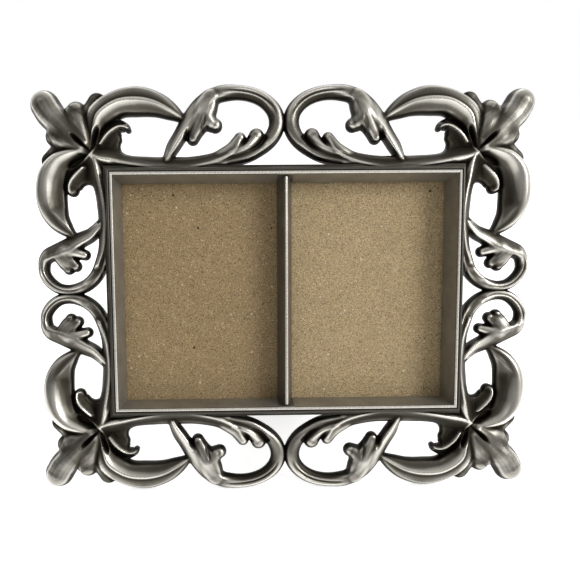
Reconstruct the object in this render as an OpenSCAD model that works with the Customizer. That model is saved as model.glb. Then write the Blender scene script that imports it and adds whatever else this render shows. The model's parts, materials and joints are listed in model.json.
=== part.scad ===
// Double photo frame for two small portrait prints: a cast moulding with a centre divider,
// four openwork acanthus scroll castings round it, two glazed openings and an easel back.
// The frame stands on its lower scrolls and its leg, on the ground plane z = 0.
// The face of the frame has its own directions: u to the right, v up the face, w out of it.

/* [Prints] */
// Width of one print
photo_w = 63.5; // [50:0.5:90]
// Height of one print
photo_h = 88.9; // [70:0.1:130]
// Room round a print in its rebate, each side
photo_play = 0.25; // [0.1:0.05:0.6]

/* [Moulding] */
// Wall outside the rebate
moulding_wall = 1.9; // [1.4:0.1:3]
// Width of the moulding's face, from its outer edge to the sight edge
moulding_face = 5.6; // [5:0.1:8]
// Height of the beads above the back of the frame
moulding_h = 15.5; // [14:0.1:18]
// Height of the outer ledge that the scrolls lap over
ledge_h = 10.4; // [9:0.1:12]
// Width of that ledge
ledge_w = 1.5; // [1:0.1:2]
// Radius of the two beads
bead_r = 0.6; // [0.4:0.05:0.7]
// How much lower the outer bead is than the inner one
bead_step = 0.5; // [0:0.05:1]
// Width of the divider bar where it meets the glass
mullion_w = 5.4; // [4.5:0.1:9]
// Width of the rounded ridge on the divider bar
mullion_ridge = 1.2; // [0.8:0.1:2]
// How far the divider's ridge lies below the beads
mullion_drop = 0.9; // [0:0.1:3]
// Thickness of the rib that parts the two rebates
rib_t = 1.2; // [0.8:0.1:1.6]

/* [Scrolls] */
// Width of the scroll border outside the moulding
border_w = 30.5; // [24:0.5:40]
// Height of the highest leaf above the back
relief_h = 11.8; // [11:0.1:14]
// Width of the slits between the corner petals
slit_w = 1.6; // [0.8:0.1:2]
// Depth of those slits
slit_depth = 3; // [1:0.1:5]
// Distance of the scrolls' flat backs forward of the frame's back
scroll_back = 4.6; // [3:0.1:6]
// Thickness of the thin web behind the corner
web_t = 1.6; // [1:0.1:3]
// How much of the lowest scrolls is filed flat to stand on
rest_trim = 0.4; // [0.2:0.05:0.8]

/* [Back] */
// Thickness of the glass
glass_t = 1.4; // [1:0.1:2]
// Thickness of the chipboard behind the glass
filler_t = 1.2; // [0.8:0.1:2]
// Thickness of the back panel
panel_t = 1.9; // [1.5:0.1:3]
// Thickness of the velvet
velvet_t = 0.4; // [0.3:0.05:0.8]
// Gap round the glass, boards and back panel
seat_gap = 0.15; // [0.05:0.05:0.3]

/* [Easel] */
// How far the frame leans back
lean = 18; // [10:1:24]
// Opening angle of the leg, measured from the back panel
leg_open = 36; // [24:1:48]
// Distance of the hinge pin below the back panel's top edge
hinge_drop = 14.55; // [12:0.05:22]
// Width of the leg at the hinge
leg_top_w = 24; // [20:0.5:32]
// Width of the leg at its foot
leg_foot_w = 42; // [34:0.5:60]
// Thickness of the leg board
leg_t = 2.4; // [1.6:0.1:3.2]
// Radius of the leg's upper corners
leg_corner_r = 5; // [2:0.5:8]
// Radius of the hinge pin
pin_r = 0.8; // [0.6:0.05:1]
// Outside radius of the hinge knuckles
knuckle_r = 1.6; // [1.4:0.05:1.8]
// Length of the middle knuckle
knuckle_len = 7; // [5:0.5:9]
// Length of each end knuckle
end_knuckle_len = 4; // [3:0.5:6]
// Thickness of the hinge leaves
leaf_t = 0.8; // [0.5:0.05:1]
// Height of the hinge leaf on the panel
panel_leaf_len = 12; // [10:0.5:14]
// Length of the hinge leaf on the leg
leg_leaf_len = 14; // [12:0.5:18]
// Length of the stop tail on the leg's leaf
tail_len = 4.2; // [3.5:0.1:4.5]
// Running clearance of pins, rivets and screws in their holes
fit_gap = 0.06; // [0.03:0.01:0.09]

/* [Fasteners] */
// Radius of a rivet's shank
rivet_r = 1.1; // [0.8:0.1:1.3]
// Radius of a rivet's head
rivet_head_r = 2; // [1.6:0.1:2.4]
// Height of a rivet's head
rivet_head_h = 0.8; // [0.5:0.1:1]
// Thickness of a rivet's spread end
rivet_end_t = 0.4; // [0.3:0.05:0.5]
// Distance between the two rivets of a leaf
rivet_spacing = 9; // [7:0.5:10]
// Distance of a turn button's screw outside the moulding's edge
button_out = 0.9; // [0.6:0.05:1.2]
// Distance of a turn button from the moulding's outer corner
button_in = 20.5; // [14:0.5:26]
// Length of a turn button between its two round ends
button_len = 7; // [6:0.5:10]
// Radius of a turn button's ends
button_r = 2.8; // [2.5:0.1:3.2]
// Thickness of a turn button
button_t = 1; // [0.8:0.1:1.4]
// Radius of the screws' shanks
screw_r = 1; // [0.8:0.05:1.1]
// Radius of the screws' heads
screw_head_r = 1.9; // [1.6:0.1:2.2]
// Height of the screws' heads
screw_head_h = 1.1; // [0.8:0.1:1.4]
// Length of the screws' shanks in their bosses
screw_len = 4; // [3:0.5:4.5]
// Radius of the cast bosses that take the screws
boss_r = 2.4; // [2.1:0.1:2.6]

/* [Hidden] */

// Overrun of every cut past the face it opens
over = 1;
// Space between a moving piece and what it passes
pass_gap = 0.1;
// Space between a cast boss and the scroll casting round it
boss_gap = 0.2;

// Rebate and moulding
pocket_w = photo_w + 2 * photo_play;
pocket_h = photo_h + 2 * photo_play;
outer_w = 2 * (moulding_wall + pocket_w) + rib_t;
outer_h = 2 * moulding_wall + pocket_h;
opening_h = outer_h - 2 * moulding_face;
pocket_u = (rib_t + pocket_w) / 2;

// Turn buttons
button_u = outer_w / 2 - button_in;

// Layers behind the sight edge, counted from the back of the frame
panel_w0 = velvet_t;
filler_w0 = panel_w0 + panel_t;
glass_w0 = filler_w0 + filler_t;
lip_w = glass_w0 + glass_t + pass_gap;

// Where the face stands over the ground
reach_share = 0.976;
reach = outer_h / 2 + reach_share * border_w;
rest_height = reach * cos(lean) - scroll_back * sin(lean) - rest_trim;

// Hinge and leg, in the face's directions
hinge_v = pocket_h / 2 - seat_gap - hinge_drop;
hinge_w = -knuckle_r - pass_gap;
leaf_gap = rivet_end_t + 2 * pass_gap;
leaf_z = -hinge_w - leaf_gap - leaf_t;
leg_z = leaf_z - leg_t;
knuckle_from = knuckle_len / 2 + pass_gap;
leaf_w = 2 * (knuckle_from + end_knuckle_len);
leg_tilt = leg_open - lean;
leg_start = knuckle_r + 3 * pass_gap;
rivet_row = panel_leaf_len / 2 + knuckle_r / 2;

// The ground origin lies half way between the foremost scroll and the back of the leg's foot
front_share = 0.808;
front = reach * sin(lean) + front_share * relief_h * cos(lean);
pin_height = rest_height + hinge_v * cos(lean) + hinge_w * sin(lean);
leg_len = pin_height / cos(leg_tilt);
rear = hinge_v * sin(lean) - hinge_w * cos(lean) + pin_height * tan(leg_tilt)
    + (velvet_t - leg_z) / cos(leg_tilt);
origin_back = (rear - front) / 2;

// Beads and divider
bead_u = ledge_w + bead_r + bead_r / 3;
inner_bead_u = bead_u + 2 * bead_r + bead_r / 4;
bead_top = moulding_h - bead_r;

// Children drawn on the face are stood up on the ground, leaning back
module on_face() {
    translate([0, -origin_back, rest_height]) rotate([90 - lean, 0, 0]) children();
}

// Children drawn hanging from the hinge pin, with the leg folded flat, are opened
module on_leg() {
    on_face() translate([0, hinge_v, hinge_w]) rotate([leg_open, 0, 0]) children();
}

// Points of an arc in the plane
function arc(centre, r, from, to, steps = 6) =
    [for (i = [0 : steps])
        let (turn = from + (to - from) * i / steps)
        centre + r * [cos(turn), sin(turn)]];

// Moulding: section across one side, from the outer edge inwards, and its four mitred sides

function moulding_section() = concat(
    [[0, 0], [0, ledge_h], [ledge_w, ledge_h], [ledge_w, bead_top - bead_step - bead_r]],
    arc([bead_u, bead_top - bead_step], bead_r, 180, -20),
    arc([inner_bead_u, bead_top], bead_r, 200, 0),
    [[inner_bead_u + bead_r, bead_top - bead_r],
     [moulding_face, lip_w + bead_r],
     [moulding_face, lip_w],
     [moulding_wall, lip_w],
     [moulding_wall, 0]]);

module mitred_side(length, half_across) {
    intersection() {
        translate([-length / 2, half_across, 0])
            rotate([90, 0, 90])
                linear_extrude(length)
                    polygon([for (p = moulding_section()) [-p[0], p[1]]]);
        translate([0, 0, -over])
            linear_extrude(moulding_h + 2 * over)
                polygon([[-length / 2, half_across], [length / 2, half_across],
                    [length / 2 - 2 * moulding_face, half_across - 2 * moulding_face],
                    [-length / 2 + 2 * moulding_face, half_across - 2 * moulding_face]]);
    }
}

// Section of the divider bar between the openings
function mullion_section() = concat(
    [[-mullion_w / 2, lip_w], [-mullion_w / 2, lip_w + bead_r]],
    arc([0, moulding_h - mullion_drop - mullion_ridge / 2], mullion_ridge / 2, 165, 15),
    [[mullion_w / 2, lip_w + bead_r], [mullion_w / 2, lip_w]]);

// The divider and the rib behind it, which parts the rebates
module mullion() {
    rib_w0 = filler_w0 + pass_gap;
    translate([0, opening_h / 2 + bead_r, 0])
        rotate([90, 0, 0])
            linear_extrude(opening_h + 2 * bead_r) polygon(mullion_section());
    translate([-rib_t / 2, -pocket_h / 2 - moulding_wall / 2, rib_w0])
        cube([rib_t, pocket_h + moulding_wall, lip_w + bead_r - rib_w0]);
}

// The places of the four turn-button screws
module at_buttons() {
    for (side = [-1, 1], end = [-1, 1])
        translate([side * button_u, end * (outer_h / 2 + button_out), 0]) children();
}

module moulding_frame() {
    color([0.55, 0.53, 0.48]) on_face() difference() {
        union() {
            for (end = [0, 1]) {
                mirror([0, end, 0]) mitred_side(outer_w, outer_h / 2);
                rotate([0, 0, 90]) mirror([0, end, 0]) mitred_side(outer_h, outer_w / 2);
            }
            mullion();
            at_buttons() cylinder(h = lip_w + leaf_t, r = boss_r, $fn = 48);
        }
        at_buttons() translate([0, 0, -over])
            cylinder(h = screw_len + pass_gap + over, r = screw_r + fit_gap, $fn = 48);
    }
}

// Scroll castings
// A place in the border is given as shares: 0 on the frame's centre line, 1 on the moulding's
// outer edge and 2 on the border's outer edge. Widths are shares of the border's width, and
// heights are shares of the relief.

function across(share, half) = share < 1 ? share * half : half + (share - 1) * border_w;

function place(p) =
    [across(p[0], outer_w / 2), across(p[1], outer_h / 2), p[2] * border_w, p[3] * relief_h, p[4]];

function bend(a, b, c, d, t) =
    b + 0.5 * t * (c - a + t * (2 * a - 5 * b + 4 * c - d + t * (3 * (b - c) + d - a)));

// The stations of a strand, with steps more between each pair
function stations(path, steps) =
    let (n = len(path) - 1)
    [for (i = [0 : n - 1], k = [0 : steps - 1])
        bend(path[max(i - 1, 0)], path[i], path[i + 1], path[min(i + 2, n)], k / steps), path[n]];

// Section of a strand from its right foot over the crest to its left foot, in half widths
// and heights. The feet run past the back, where the casting is ground flat.
section_side_shares = [-1, -0.62, 0, 0.62, 1];
section_rise_shares = [0, 0.72, 1, 0.72, 0];

// A strand of scroll: a low vaulted bar swept along its path.
// The crest moves to the left of the run as a share of the half width.
module strand(path_shares, steps = 2) {
    s = stations([for (p = path_shares) place(p)], steps);
    n = len(s);
    m = len(section_side_shares);
    points = [for (i = [0 : n - 1])
        let (a = s[max(i - 1, 0)], b = s[min(i + 1, n - 1)],
            run = [b[0] - a[0], b[1] - a[1]],
            left = [-run[1], run[0]] / norm(run))
        for (k = [0 : m - 1])
            let (side = section_side_shares[k], reach = s[i][2] * (side + s[i][4] * (1 - abs(side))),
                rise = section_rise_shares[k], w = rise > 0 ? (s[i][3] - scroll_back) * rise : -over)
            [s[i][0] + left[0] * reach, s[i][1] + left[1] * reach, scroll_back + w]];
    ends = [[for (k = [m - 1 : -1 : 0]) k], [for (k = [0 : m - 1]) (n - 1) * m + k]];
    walls = [for (i = [0 : n - 2], k = [0 : m - 1])
        let (a = i * m + k, b = i * m + (k + 1) % m)
        each [[a, b, b + m], [a, b + m, a + m]]];
    polyhedron(points = points, faces = concat(ends, walls), convexity = 8);
}

// A rounded lobe through a few places
module lobe(path_shares) {
    hull() for (p = path_shares) {
        q = place(p);
        translate([q[0], q[1], scroll_back])
            scale([1, 1, (q[3] - scroll_back) / q[2]]) sphere(r = q[2], $fn = 10);
    }
}

// A slit cut from above along the line between two petals
module slit(path_shares) {
    hull() for (p = path_shares) {
        q = place(p);
        translate([q[0], q[1], q[3] - slit_depth])
            cylinder(h = relief_h, r1 = slit_w * p[2] / 4, r2 = slit_w * p[2], $fn = 6);
    }
}

// Strands and leaves of one quarter of the border, drawn for the upper right quarter.
// Each row is across, up, half width, height, and the crest's place to the left.
top_rim_shares = [[1.16, 1.18, 0.05, 0.74, 0.5], [1.02, 1.14, 0.09, 0.86, 0.6],
    [0.88, 1.07, 0.088, 0.93, 0.6], [0.76, 1.05, 0.09, 0.95, 0.6], [0.64, 1.045, 0.09, 0.96, 0.6],
    [0.52, 1.045, 0.094, 0.95, 0.6], [0.42, 1.075, 0.096, 0.92, 0.5], [0.32, 1.115, 0.11, 0.87, 0.3],
    [0.22, 1.15, 0.11, 0.81, 0.1], [0.14, 1.225, 0.10, 0.75, 0.1], [0.08, 1.325, 0.096, 0.70, 0.2],
    [0.046, 1.45, 0.096, 0.68, 0.1], [0.04, 1.575, 0.096, 0.67, 0.1], [0.063, 1.695, 0.096, 0.67, 0.1],
    [0.112, 1.797, 0.096, 0.67, 0.1], [0.178, 1.862, 0.096, 0.68, 0.1],
    [0.258, 1.89, 0.096, 0.69, 0.1], [0.335, 1.88, 0.10, 0.70, 0]];
top_stem_shares = [[0.33, 1.885, 0.09, 0.70, 0], [0.40, 1.84, 0.10, 0.73, -0.2],
    [0.457, 1.75, 0.11, 0.75, -0.3], [0.505, 1.63, 0.11, 0.76, -0.3], [0.552, 1.50, 0.10, 0.77, -0.4],
    [0.594, 1.37, 0.086, 0.78, -0.4], [0.632, 1.24, 0.086, 0.80, -0.4], [0.664, 1.115, 0.08, 0.84, -0.2]];
top_leaf_shares = [[1.16, 1.21, 0.05, 0.76, 0], [1.11, 1.43, 0.13, 0.88, -0.2],
    [1.04, 1.61, 0.17, 0.94, -0.3], [0.92, 1.75, 0.175, 0.94, -0.35], [0.81, 1.785, 0.19, 0.89, -0.35],
    [0.71, 1.75, 0.16, 0.83, -0.25], [0.63, 1.67, 0.115, 0.74, -0.1], [0.565, 1.58, 0.05, 0.64, 0]];
top_curl_shares = [[1.15, 1.17, 0.08, 0.76, 0], [1.07, 1.27, 0.15, 0.82, -0.2],
    [1.00, 1.365, 0.15, 0.82, -0.3], [0.95, 1.445, 0.12, 0.80, -0.3], [0.918, 1.495, 0.085, 0.75, -0.2],
    [0.882, 1.48, 0.06, 0.69, 0], [0.868, 1.45, 0.04, 0.62, 0]];
top_hook_shares = [[0.42, 1.82, 0.09, 0.72, 0], [0.437, 1.70, 0.13, 0.77, 0.2],
    [0.458, 1.56, 0.13, 0.79, 0.2], [0.492, 1.43, 0.085, 0.75, 0.1], [0.524, 1.30, 0.045, 0.64, 0]];
top_lobes_shares = [
    [[0.29, 1.17, 0.08, 0.82], [0.155, 1.37, 0.094, 0.68]],
    [[0.37, 1.12, 0.08, 0.86], [0.29, 1.22, 0.085, 0.82], [0.247, 1.345, 0.072, 0.70]],
    [[0.435, 1.62, 0.11, 0.77], [0.397, 1.52, 0.11, 0.69]],
    [[1.06, 1.20, 0.14, 0.80], [0.98, 1.205, 0.13, 0.73]]];
side_rim_shares = [[1.18, 1.16, 0.05, 0.74, -0.5], [1.12, 1.01, 0.08, 0.86, -0.6],
    [1.07, 0.88, 0.09, 0.93, -0.6], [1.04, 0.76, 0.085, 0.95, -0.6], [1.03, 0.63, 0.08, 0.96, -0.6],
    [1.03, 0.50, 0.08, 0.95, -0.6], [1.035, 0.38, 0.08, 0.93, -0.6], [1.07, 0.27, 0.085, 0.88, -0.4],
    [1.135, 0.165, 0.09, 0.80, -0.2], [1.235, 0.09, 0.086, 0.73, -0.2], [1.36, 0.046, 0.084, 0.69, -0.2],
    [1.49, 0.031, 0.078, 0.67, -0.2], [1.62, 0.047, 0.074, 0.67, -0.2],
    [1.72, 0.10, 0.072, 0.67, -0.2], [1.78, 0.17, 0.07, 0.68, -0.2],
    [1.785, 0.25, 0.074, 0.69, -0.2], [1.74, 0.315, 0.086, 0.71, 0]];
side_stem_shares = [[1.78, 0.275, 0.08, 0.69, 0], [1.70, 0.33, 0.10, 0.73, 0.2],
    [1.57, 0.372, 0.11, 0.75, 0.2], [1.45, 0.405, 0.115, 0.76, 0.3], [1.32, 0.45, 0.105, 0.77, 0.3],
    [1.20, 0.485, 0.09, 0.80, 0.3], [1.09, 0.545, 0.075, 0.84, 0.2]];
side_leaf_shares = [[1.20, 1.19, 0.05, 0.76, 0], [1.38, 1.13, 0.11, 0.88, 0],
    [1.54, 1.04, 0.15, 0.94, 0], [1.645, 0.93, 0.18, 0.94, 0], [1.675, 0.80, 0.19, 0.90, 0],
    [1.66, 0.69, 0.18, 0.85, 0], [1.60, 0.595, 0.145, 0.79, 0], [1.50, 0.52, 0.10, 0.71, 0],
    [1.42, 0.475, 0.05, 0.64, 0]];
side_curl_shares = [[1.18, 1.17, 0.07, 0.76, 0], [1.25, 1.05, 0.13, 0.82, 0],
    [1.33, 0.95, 0.14, 0.82, 0], [1.39, 0.855, 0.12, 0.75, 0], [1.40, 0.805, 0.09, 0.66, 0]];
side_lobes_shares = [
    [[1.50, 0.345, 0.10, 0.76], [1.285, 0.314, 0.067, 0.66]],
    [[1.54, 0.32, 0.10, 0.74], [1.40, 0.225, 0.07, 0.65]],
    [[1.60, 0.30, 0.09, 0.72], [1.487, 0.20, 0.066, 0.63]],
    [[1.20, 1.08, 0.15, 0.78], [1.215, 1.00, 0.19, 0.71]]];
petals_shares = [
    [[1.24, 1.25, 0.07, 0.88], [1.58, 1.565, 0.165, 0.98], [1.705, 1.745, 0.174, 0.87]],
    [[1.21, 1.30, 0.07, 0.83], [1.29, 1.52, 0.105, 0.88], [1.335, 1.665, 0.124, 0.74]],
    [[1.28, 1.22, 0.07, 0.83], [1.46, 1.32, 0.11, 0.86], [1.59, 1.375, 0.124, 0.71]],
    [[1.20, 1.62, 0.10, 0.70], [1.08, 1.775, 0.114, 0.60]],
    [[1.55, 1.22, 0.10, 0.70], [1.665, 1.09, 0.108, 0.60]]];
// Each row is across, up, width as a share of the slit's, and the height of the metal there
slits_shares = [
    [[1.17, 1.19, 0.3, 0.84], [1.29, 1.30, 1, 0.94], [1.375, 1.385, 0.3, 0.98]],
    [[1.14, 1.22, 0.3, 0.80], [1.10, 1.335, 0.8, 0.88], [1.055, 1.45, 1, 0.94]],
    [[1.19, 1.135, 0.3, 0.80], [1.31, 1.07, 0.8, 0.88], [1.42, 1.005, 1, 0.94]]];
// The thin web between the corner flower and the moulding, as a closed outline
web_shares = [[0.30, 0.96], [0.34, 1.10], [0.60, 1.08], [0.90, 1.10], [1.02, 1.24], [1.15, 1.36],
    [1.36, 1.16], [1.22, 1.02], [1.10, 0.88], [1.06, 0.60], [1.06, 0.26], [0.96, 0.20], [0.96, 0.96]];

module quarter_metal() {
    strand(top_rim_shares);
    strand(top_stem_shares, steps = 1);
    strand(top_leaf_shares);
    strand(top_curl_shares);
    strand(top_hook_shares);
    for (place_shares = top_lobes_shares) lobe(place_shares);
    strand(side_rim_shares);
    strand(side_stem_shares, steps = 1);
    strand(side_leaf_shares);
    strand(side_curl_shares);
    for (place_shares = side_lobes_shares) lobe(place_shares);
    for (place_shares = petals_shares) lobe(place_shares);
    translate([0, 0, scroll_back - over]) linear_extrude(over + web_t)
        polygon([for (p = web_shares) [across(p[0], outer_w / 2), across(p[1], outer_h / 2)]]);
}

// What the moulding takes up: its body to the ledge, and its beads above
module moulding_room() {
    translate([-outer_w / 2, -outer_h / 2, -over]) cube([outer_w, outer_h, ledge_h + over]);
    translate([-outer_w / 2 + ledge_w, -outer_h / 2 + ledge_w, 0])
        cube([outer_w - 2 * ledge_w, outer_h - 2 * ledge_w, relief_h + moulding_h]);
    at_buttons() translate([0, 0, -over])
        cylinder(h = lip_w + leaf_t + boss_gap + over, r = boss_r + boss_gap, $fn = 24);
}

// One casting: the quarter's metal inside its own quadrant, above the back and outside the moulding
module quarter_casting() {
    difference() {
        intersection() {
            union() quarter_metal();
            translate([0, 0, scroll_back])
                cube([outer_w / 2 + border_w, outer_h / 2 + border_w, relief_h]);
        }
        moulding_room();
        for (s = slits_shares) slit(s);
    }
}

module scroll(side, end) {
    color([0.62, 0.60, 0.55]) difference() {
        on_face() mirror([side < 0 ? 1 : 0, 0, 0]) mirror([0, end < 0 ? 1 : 0, 0]) quarter_casting();
        translate([-outer_w, -outer_w, -outer_h]) cube([2 * outer_w, 2 * outer_w, outer_h]);
    }
}

module scroll_top_left() { scroll(-1, 1); }
module scroll_top_right() { scroll(1, 1); }
module scroll_bottom_left() { scroll(-1, -1); }
module scroll_bottom_right() { scroll(1, -1); }

// Glass and chipboard in each rebate
module in_pocket(side, w0, thick) {
    on_face() translate([side * pocket_u - pocket_w / 2 + seat_gap, -pocket_h / 2 + seat_gap, w0])
        cube([pocket_w - 2 * seat_gap, pocket_h - 2 * seat_gap, thick]);
}

module glass_left() { color([0.8, 0.9, 0.9, 0.35]) in_pocket(-1, glass_w0, glass_t); }
module glass_right() { color([0.8, 0.9, 0.9, 0.35]) in_pocket(1, glass_w0, glass_t); }
module filler_board_left() { color([0.56, 0.46, 0.34]) in_pocket(-1, filler_w0, filler_t); }
module filler_board_right() { color([0.62, 0.53, 0.39]) in_pocket(1, filler_w0, filler_t); }

// Back panel, its velvet and the hinge's fixed half
module at_panel_rivets() {
    for (side = [-1, 1]) translate([side * rivet_spacing / 2, hinge_v + rivet_row, 0]) children();
}

module panel_sheet(w0, thick) {
    width = outer_w - 2 * moulding_wall - 2 * seat_gap;
    height = pocket_h - 2 * seat_gap;
    translate([-width / 2, -height / 2, w0]) cube([width, height, thick]);
}

module back_panel() {
    color([0.45, 0.36, 0.26]) on_face() difference() {
        panel_sheet(panel_w0, panel_t);
        at_panel_rivets() translate([0, 0, panel_w0 - over])
            cylinder(h = panel_t + 2 * over, r = rivet_r + fit_gap, $fn = 32);
        at_panel_rivets() translate([0, 0, filler_w0 - rivet_end_t])
            cylinder(h = rivet_end_t + over, r = rivet_head_r + fit_gap, $fn = 32);
    }
}

module back_velvet() {
    color([0.06, 0.06, 0.07]) on_face() difference() {
        panel_sheet(0, velvet_t);
        at_panel_rivets() translate([0, 0, -over])
            cylinder(h = velvet_t + 2 * over, r = rivet_r + fit_gap, $fn = 32);
    }
}

// A rivet from its domed head behind to its spread end in front of what it holds
module rivet(w_back, w_front) {
    translate([0, 0, w_back]) intersection() {
        translate([0, 0, -rivet_head_h]) cylinder(h = rivet_head_h, r = rivet_head_r, $fn = 32);
        scale([1, 1, rivet_head_h / rivet_head_r]) sphere(r = rivet_head_r, $fn = 32);
    }
    translate([0, 0, w_back]) cylinder(h = w_front - w_back, r = rivet_r, $fn = 32);
    translate([0, 0, w_front - rivet_end_t]) cylinder(h = rivet_end_t, r = rivet_head_r, $fn = 32);
}

module panel_rivets() {
    color([0.72, 0.6, 0.35]) on_face() at_panel_rivets() rivet(-leaf_t, filler_w0);
}

// A knuckle round the pin, running along u from its left end
module knuckle(from, length) {
    translate([from, 0, 0]) rotate([0, 90, 0]) cylinder(h = length, r = knuckle_r, $fn = 40);
}

module pin_bore() {
    length = leaf_w + 2 * over;
    translate([-length / 2, 0, 0]) rotate([0, 90, 0]) cylinder(h = length, r = pin_r + fit_gap, $fn = 40);
}

module hinge_panel_leaf() {
    color([0.7, 0.7, 0.72]) on_face() difference() {
        union() {
            for (from = [knuckle_from, -knuckle_from - end_knuckle_len])
                translate([0, hinge_v, hinge_w]) knuckle(from, end_knuckle_len);
            translate([-leaf_w / 2, hinge_v, -leaf_t]) cube([leaf_w, panel_leaf_len, leaf_t]);
        }
        translate([-knuckle_from, hinge_v - over, -leaf_t - over])
            cube([2 * knuckle_from, over + knuckle_r + pass_gap, leaf_t + 2 * over]);
        translate([0, hinge_v, hinge_w]) pin_bore();
        at_panel_rivets() translate([0, 0, -leaf_t - over])
            cylinder(h = leaf_t + 2 * over, r = rivet_r + fit_gap, $fn = 32);
    }
}

module hinge_pin() {
    color([0.75, 0.75, 0.76]) on_face() translate([-leaf_w / 2, hinge_v, hinge_w])
        rotate([0, 90, 0]) cylinder(h = leaf_w, r = pin_r, $fn = 40);
}

// Leg and the hinge's moving half, drawn folded flat with the pin as origin
module at_leg_rivets() {
    for (side = [-1, 1])
        translate([side * rivet_spacing / 2, -(leg_start + leg_leaf_len) / 2, 0]) children();
}

// The end of the leaf that bears on the fixed leaf when the leg is open
module stop_tail() {
    translate([-knuckle_len / 2, 0, -hinge_w - 2 * leaf_t - pass_gap])
        cube([knuckle_len, tail_len, leaf_t]);
}

module hinge_leg_leaf() {
    color([0.7, 0.7, 0.72]) on_leg() difference() {
        union() {
            knuckle(-knuckle_len / 2, knuckle_len);
            translate([-knuckle_len / 2, -leg_start - over, leaf_z])
                cube([knuckle_len, leg_start + over, leaf_t]);
            translate([-leaf_w / 2, -leg_leaf_len, leaf_z])
                cube([leaf_w, leg_leaf_len - leg_start, leaf_t]);
            rotate([-leg_open, 0, 0]) stop_tail();
        }
        pin_bore();
        at_leg_rivets() translate([0, 0, leaf_z - over])
            cylinder(h = leaf_t + 2 * over, r = rivet_r + fit_gap, $fn = 32);
    }
}

// Outline of the leg, splayed towards its foot and long enough to be cut off at the ground
module leg_outline() {
    corner = [leg_top_w / 2 - leg_corner_r, -leg_start - leg_corner_r];
    polygon(concat(
        arc(corner, leg_corner_r, 0, 90),
        arc([-corner[0], corner[1]], leg_corner_r, 90, 180),
        [[-leg_foot_w / 2, -leg_len - 2 * leg_t], [leg_foot_w / 2, -leg_len - 2 * leg_t]]));
}

module leg_sheet(z, thick) {
    intersection() {
        on_leg() difference() {
            translate([0, 0, z]) linear_extrude(thick) leg_outline();
            at_leg_rivets() translate([0, 0, z - over])
                cylinder(h = thick + 2 * over, r = rivet_r + fit_gap, $fn = 32);
        }
        translate([-leg_foot_w, -leg_len, 0]) cube([2 * leg_foot_w, 3 * leg_len, 2 * leg_len]);
    }
}

module easel_leg() { color([0.42, 0.33, 0.24]) leg_sheet(leg_z, leg_t); }
module leg_velvet() { color([0.06, 0.06, 0.07]) leg_sheet(leg_z - velvet_t, velvet_t); }

module leg_rivets() {
    color([0.72, 0.6, 0.35]) on_leg() at_leg_rivets()
        rivet(leg_z - velvet_t, leaf_z + leaf_t + rivet_end_t);
}

// Turn buttons and their screws
module turn_button(side, end) {
    color([0.7, 0.7, 0.72]) on_face()
        translate([side * button_u, end * (outer_h / 2 + button_out), -button_t - pass_gap])
            mirror([0, end > 0 ? 1 : 0, 0])
                difference() {
                    union() {
                        cylinder(h = button_t, r = button_r, $fn = 48);
                        translate([0, button_len, 0]) cylinder(h = button_t, r = button_r, $fn = 48);
                        translate([-button_r, 0, 0]) cube([2 * button_r, button_len, button_t]);
                    }
                    translate([0, 0, -over])
                        cylinder(h = button_t + 2 * over, r = screw_r + fit_gap, $fn = 48);
                }
}

module turn_button_top_left() { turn_button(-1, 1); }
module turn_button_top_right() { turn_button(1, 1); }
module turn_button_bottom_left() { turn_button(-1, -1); }
module turn_button_bottom_right() { turn_button(1, -1); }

module button_screws() {
    head_w0 = -2 * pass_gap - button_t - screw_head_h;
    color([0.72, 0.6, 0.35]) on_face() at_buttons() difference() {
        union() {
            translate([0, 0, head_w0]) cylinder(h = screw_head_h, r = screw_head_r, $fn = 48);
            translate([0, 0, head_w0]) cylinder(h = screw_len - head_w0, r = screw_r, $fn = 48);
        }
        translate([-screw_head_r - over, -screw_r / 4, head_w0 - over])
            cube([2 * screw_head_r + 2 * over, screw_r / 2, over + screw_head_h / 2]);
    }
}

moulding_frame();
scroll_top_left();
scroll_top_right();
scroll_bottom_left();
scroll_bottom_right();
glass_left();
glass_right();
filler_board_left();
filler_board_right();
back_panel();
back_velvet();
easel_leg();
leg_velvet();
hinge_panel_leaf();
hinge_leg_leaf();
hinge_pin();
panel_rivets();
leg_rivets();
turn_button_top_left();
turn_button_top_right();
turn_button_bottom_left();
turn_button_bottom_right();
button_screws();
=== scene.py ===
"""Looks of the double photo frame: antiqued pewter scrollwork and moulding, glass, chipboard,
velvet back and brass and steel fittings, on a plain white floor.

Lengths on the frame's face are in millimetres and in the face's own directions: u to the right,
v up the face, w out of it, from the middle of the back. to_world() turns them into the row frame.
"""
import json
import math

import bpy
import numpy as np
from mathutils import Matrix, Vector


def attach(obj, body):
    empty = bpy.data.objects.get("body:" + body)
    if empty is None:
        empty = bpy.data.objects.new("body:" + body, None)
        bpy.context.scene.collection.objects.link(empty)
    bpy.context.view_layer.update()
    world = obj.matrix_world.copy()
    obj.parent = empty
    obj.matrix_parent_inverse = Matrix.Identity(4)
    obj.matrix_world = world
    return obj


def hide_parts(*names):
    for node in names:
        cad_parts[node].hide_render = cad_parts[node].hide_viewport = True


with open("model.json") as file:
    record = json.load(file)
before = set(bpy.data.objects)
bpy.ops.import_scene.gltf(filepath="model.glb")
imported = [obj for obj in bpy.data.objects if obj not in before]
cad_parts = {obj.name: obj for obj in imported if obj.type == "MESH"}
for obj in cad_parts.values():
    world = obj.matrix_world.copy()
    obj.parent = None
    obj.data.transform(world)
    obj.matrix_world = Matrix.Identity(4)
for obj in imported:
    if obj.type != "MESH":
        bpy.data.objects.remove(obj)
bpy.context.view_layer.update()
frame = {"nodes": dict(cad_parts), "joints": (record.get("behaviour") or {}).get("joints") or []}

bpy.context.scene.view_settings.view_transform = "Standard"
NODES = frame["nodes"]
JOINTS = {j["name"]: j for j in frame["joints"]}
MM = 0.001

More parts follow.
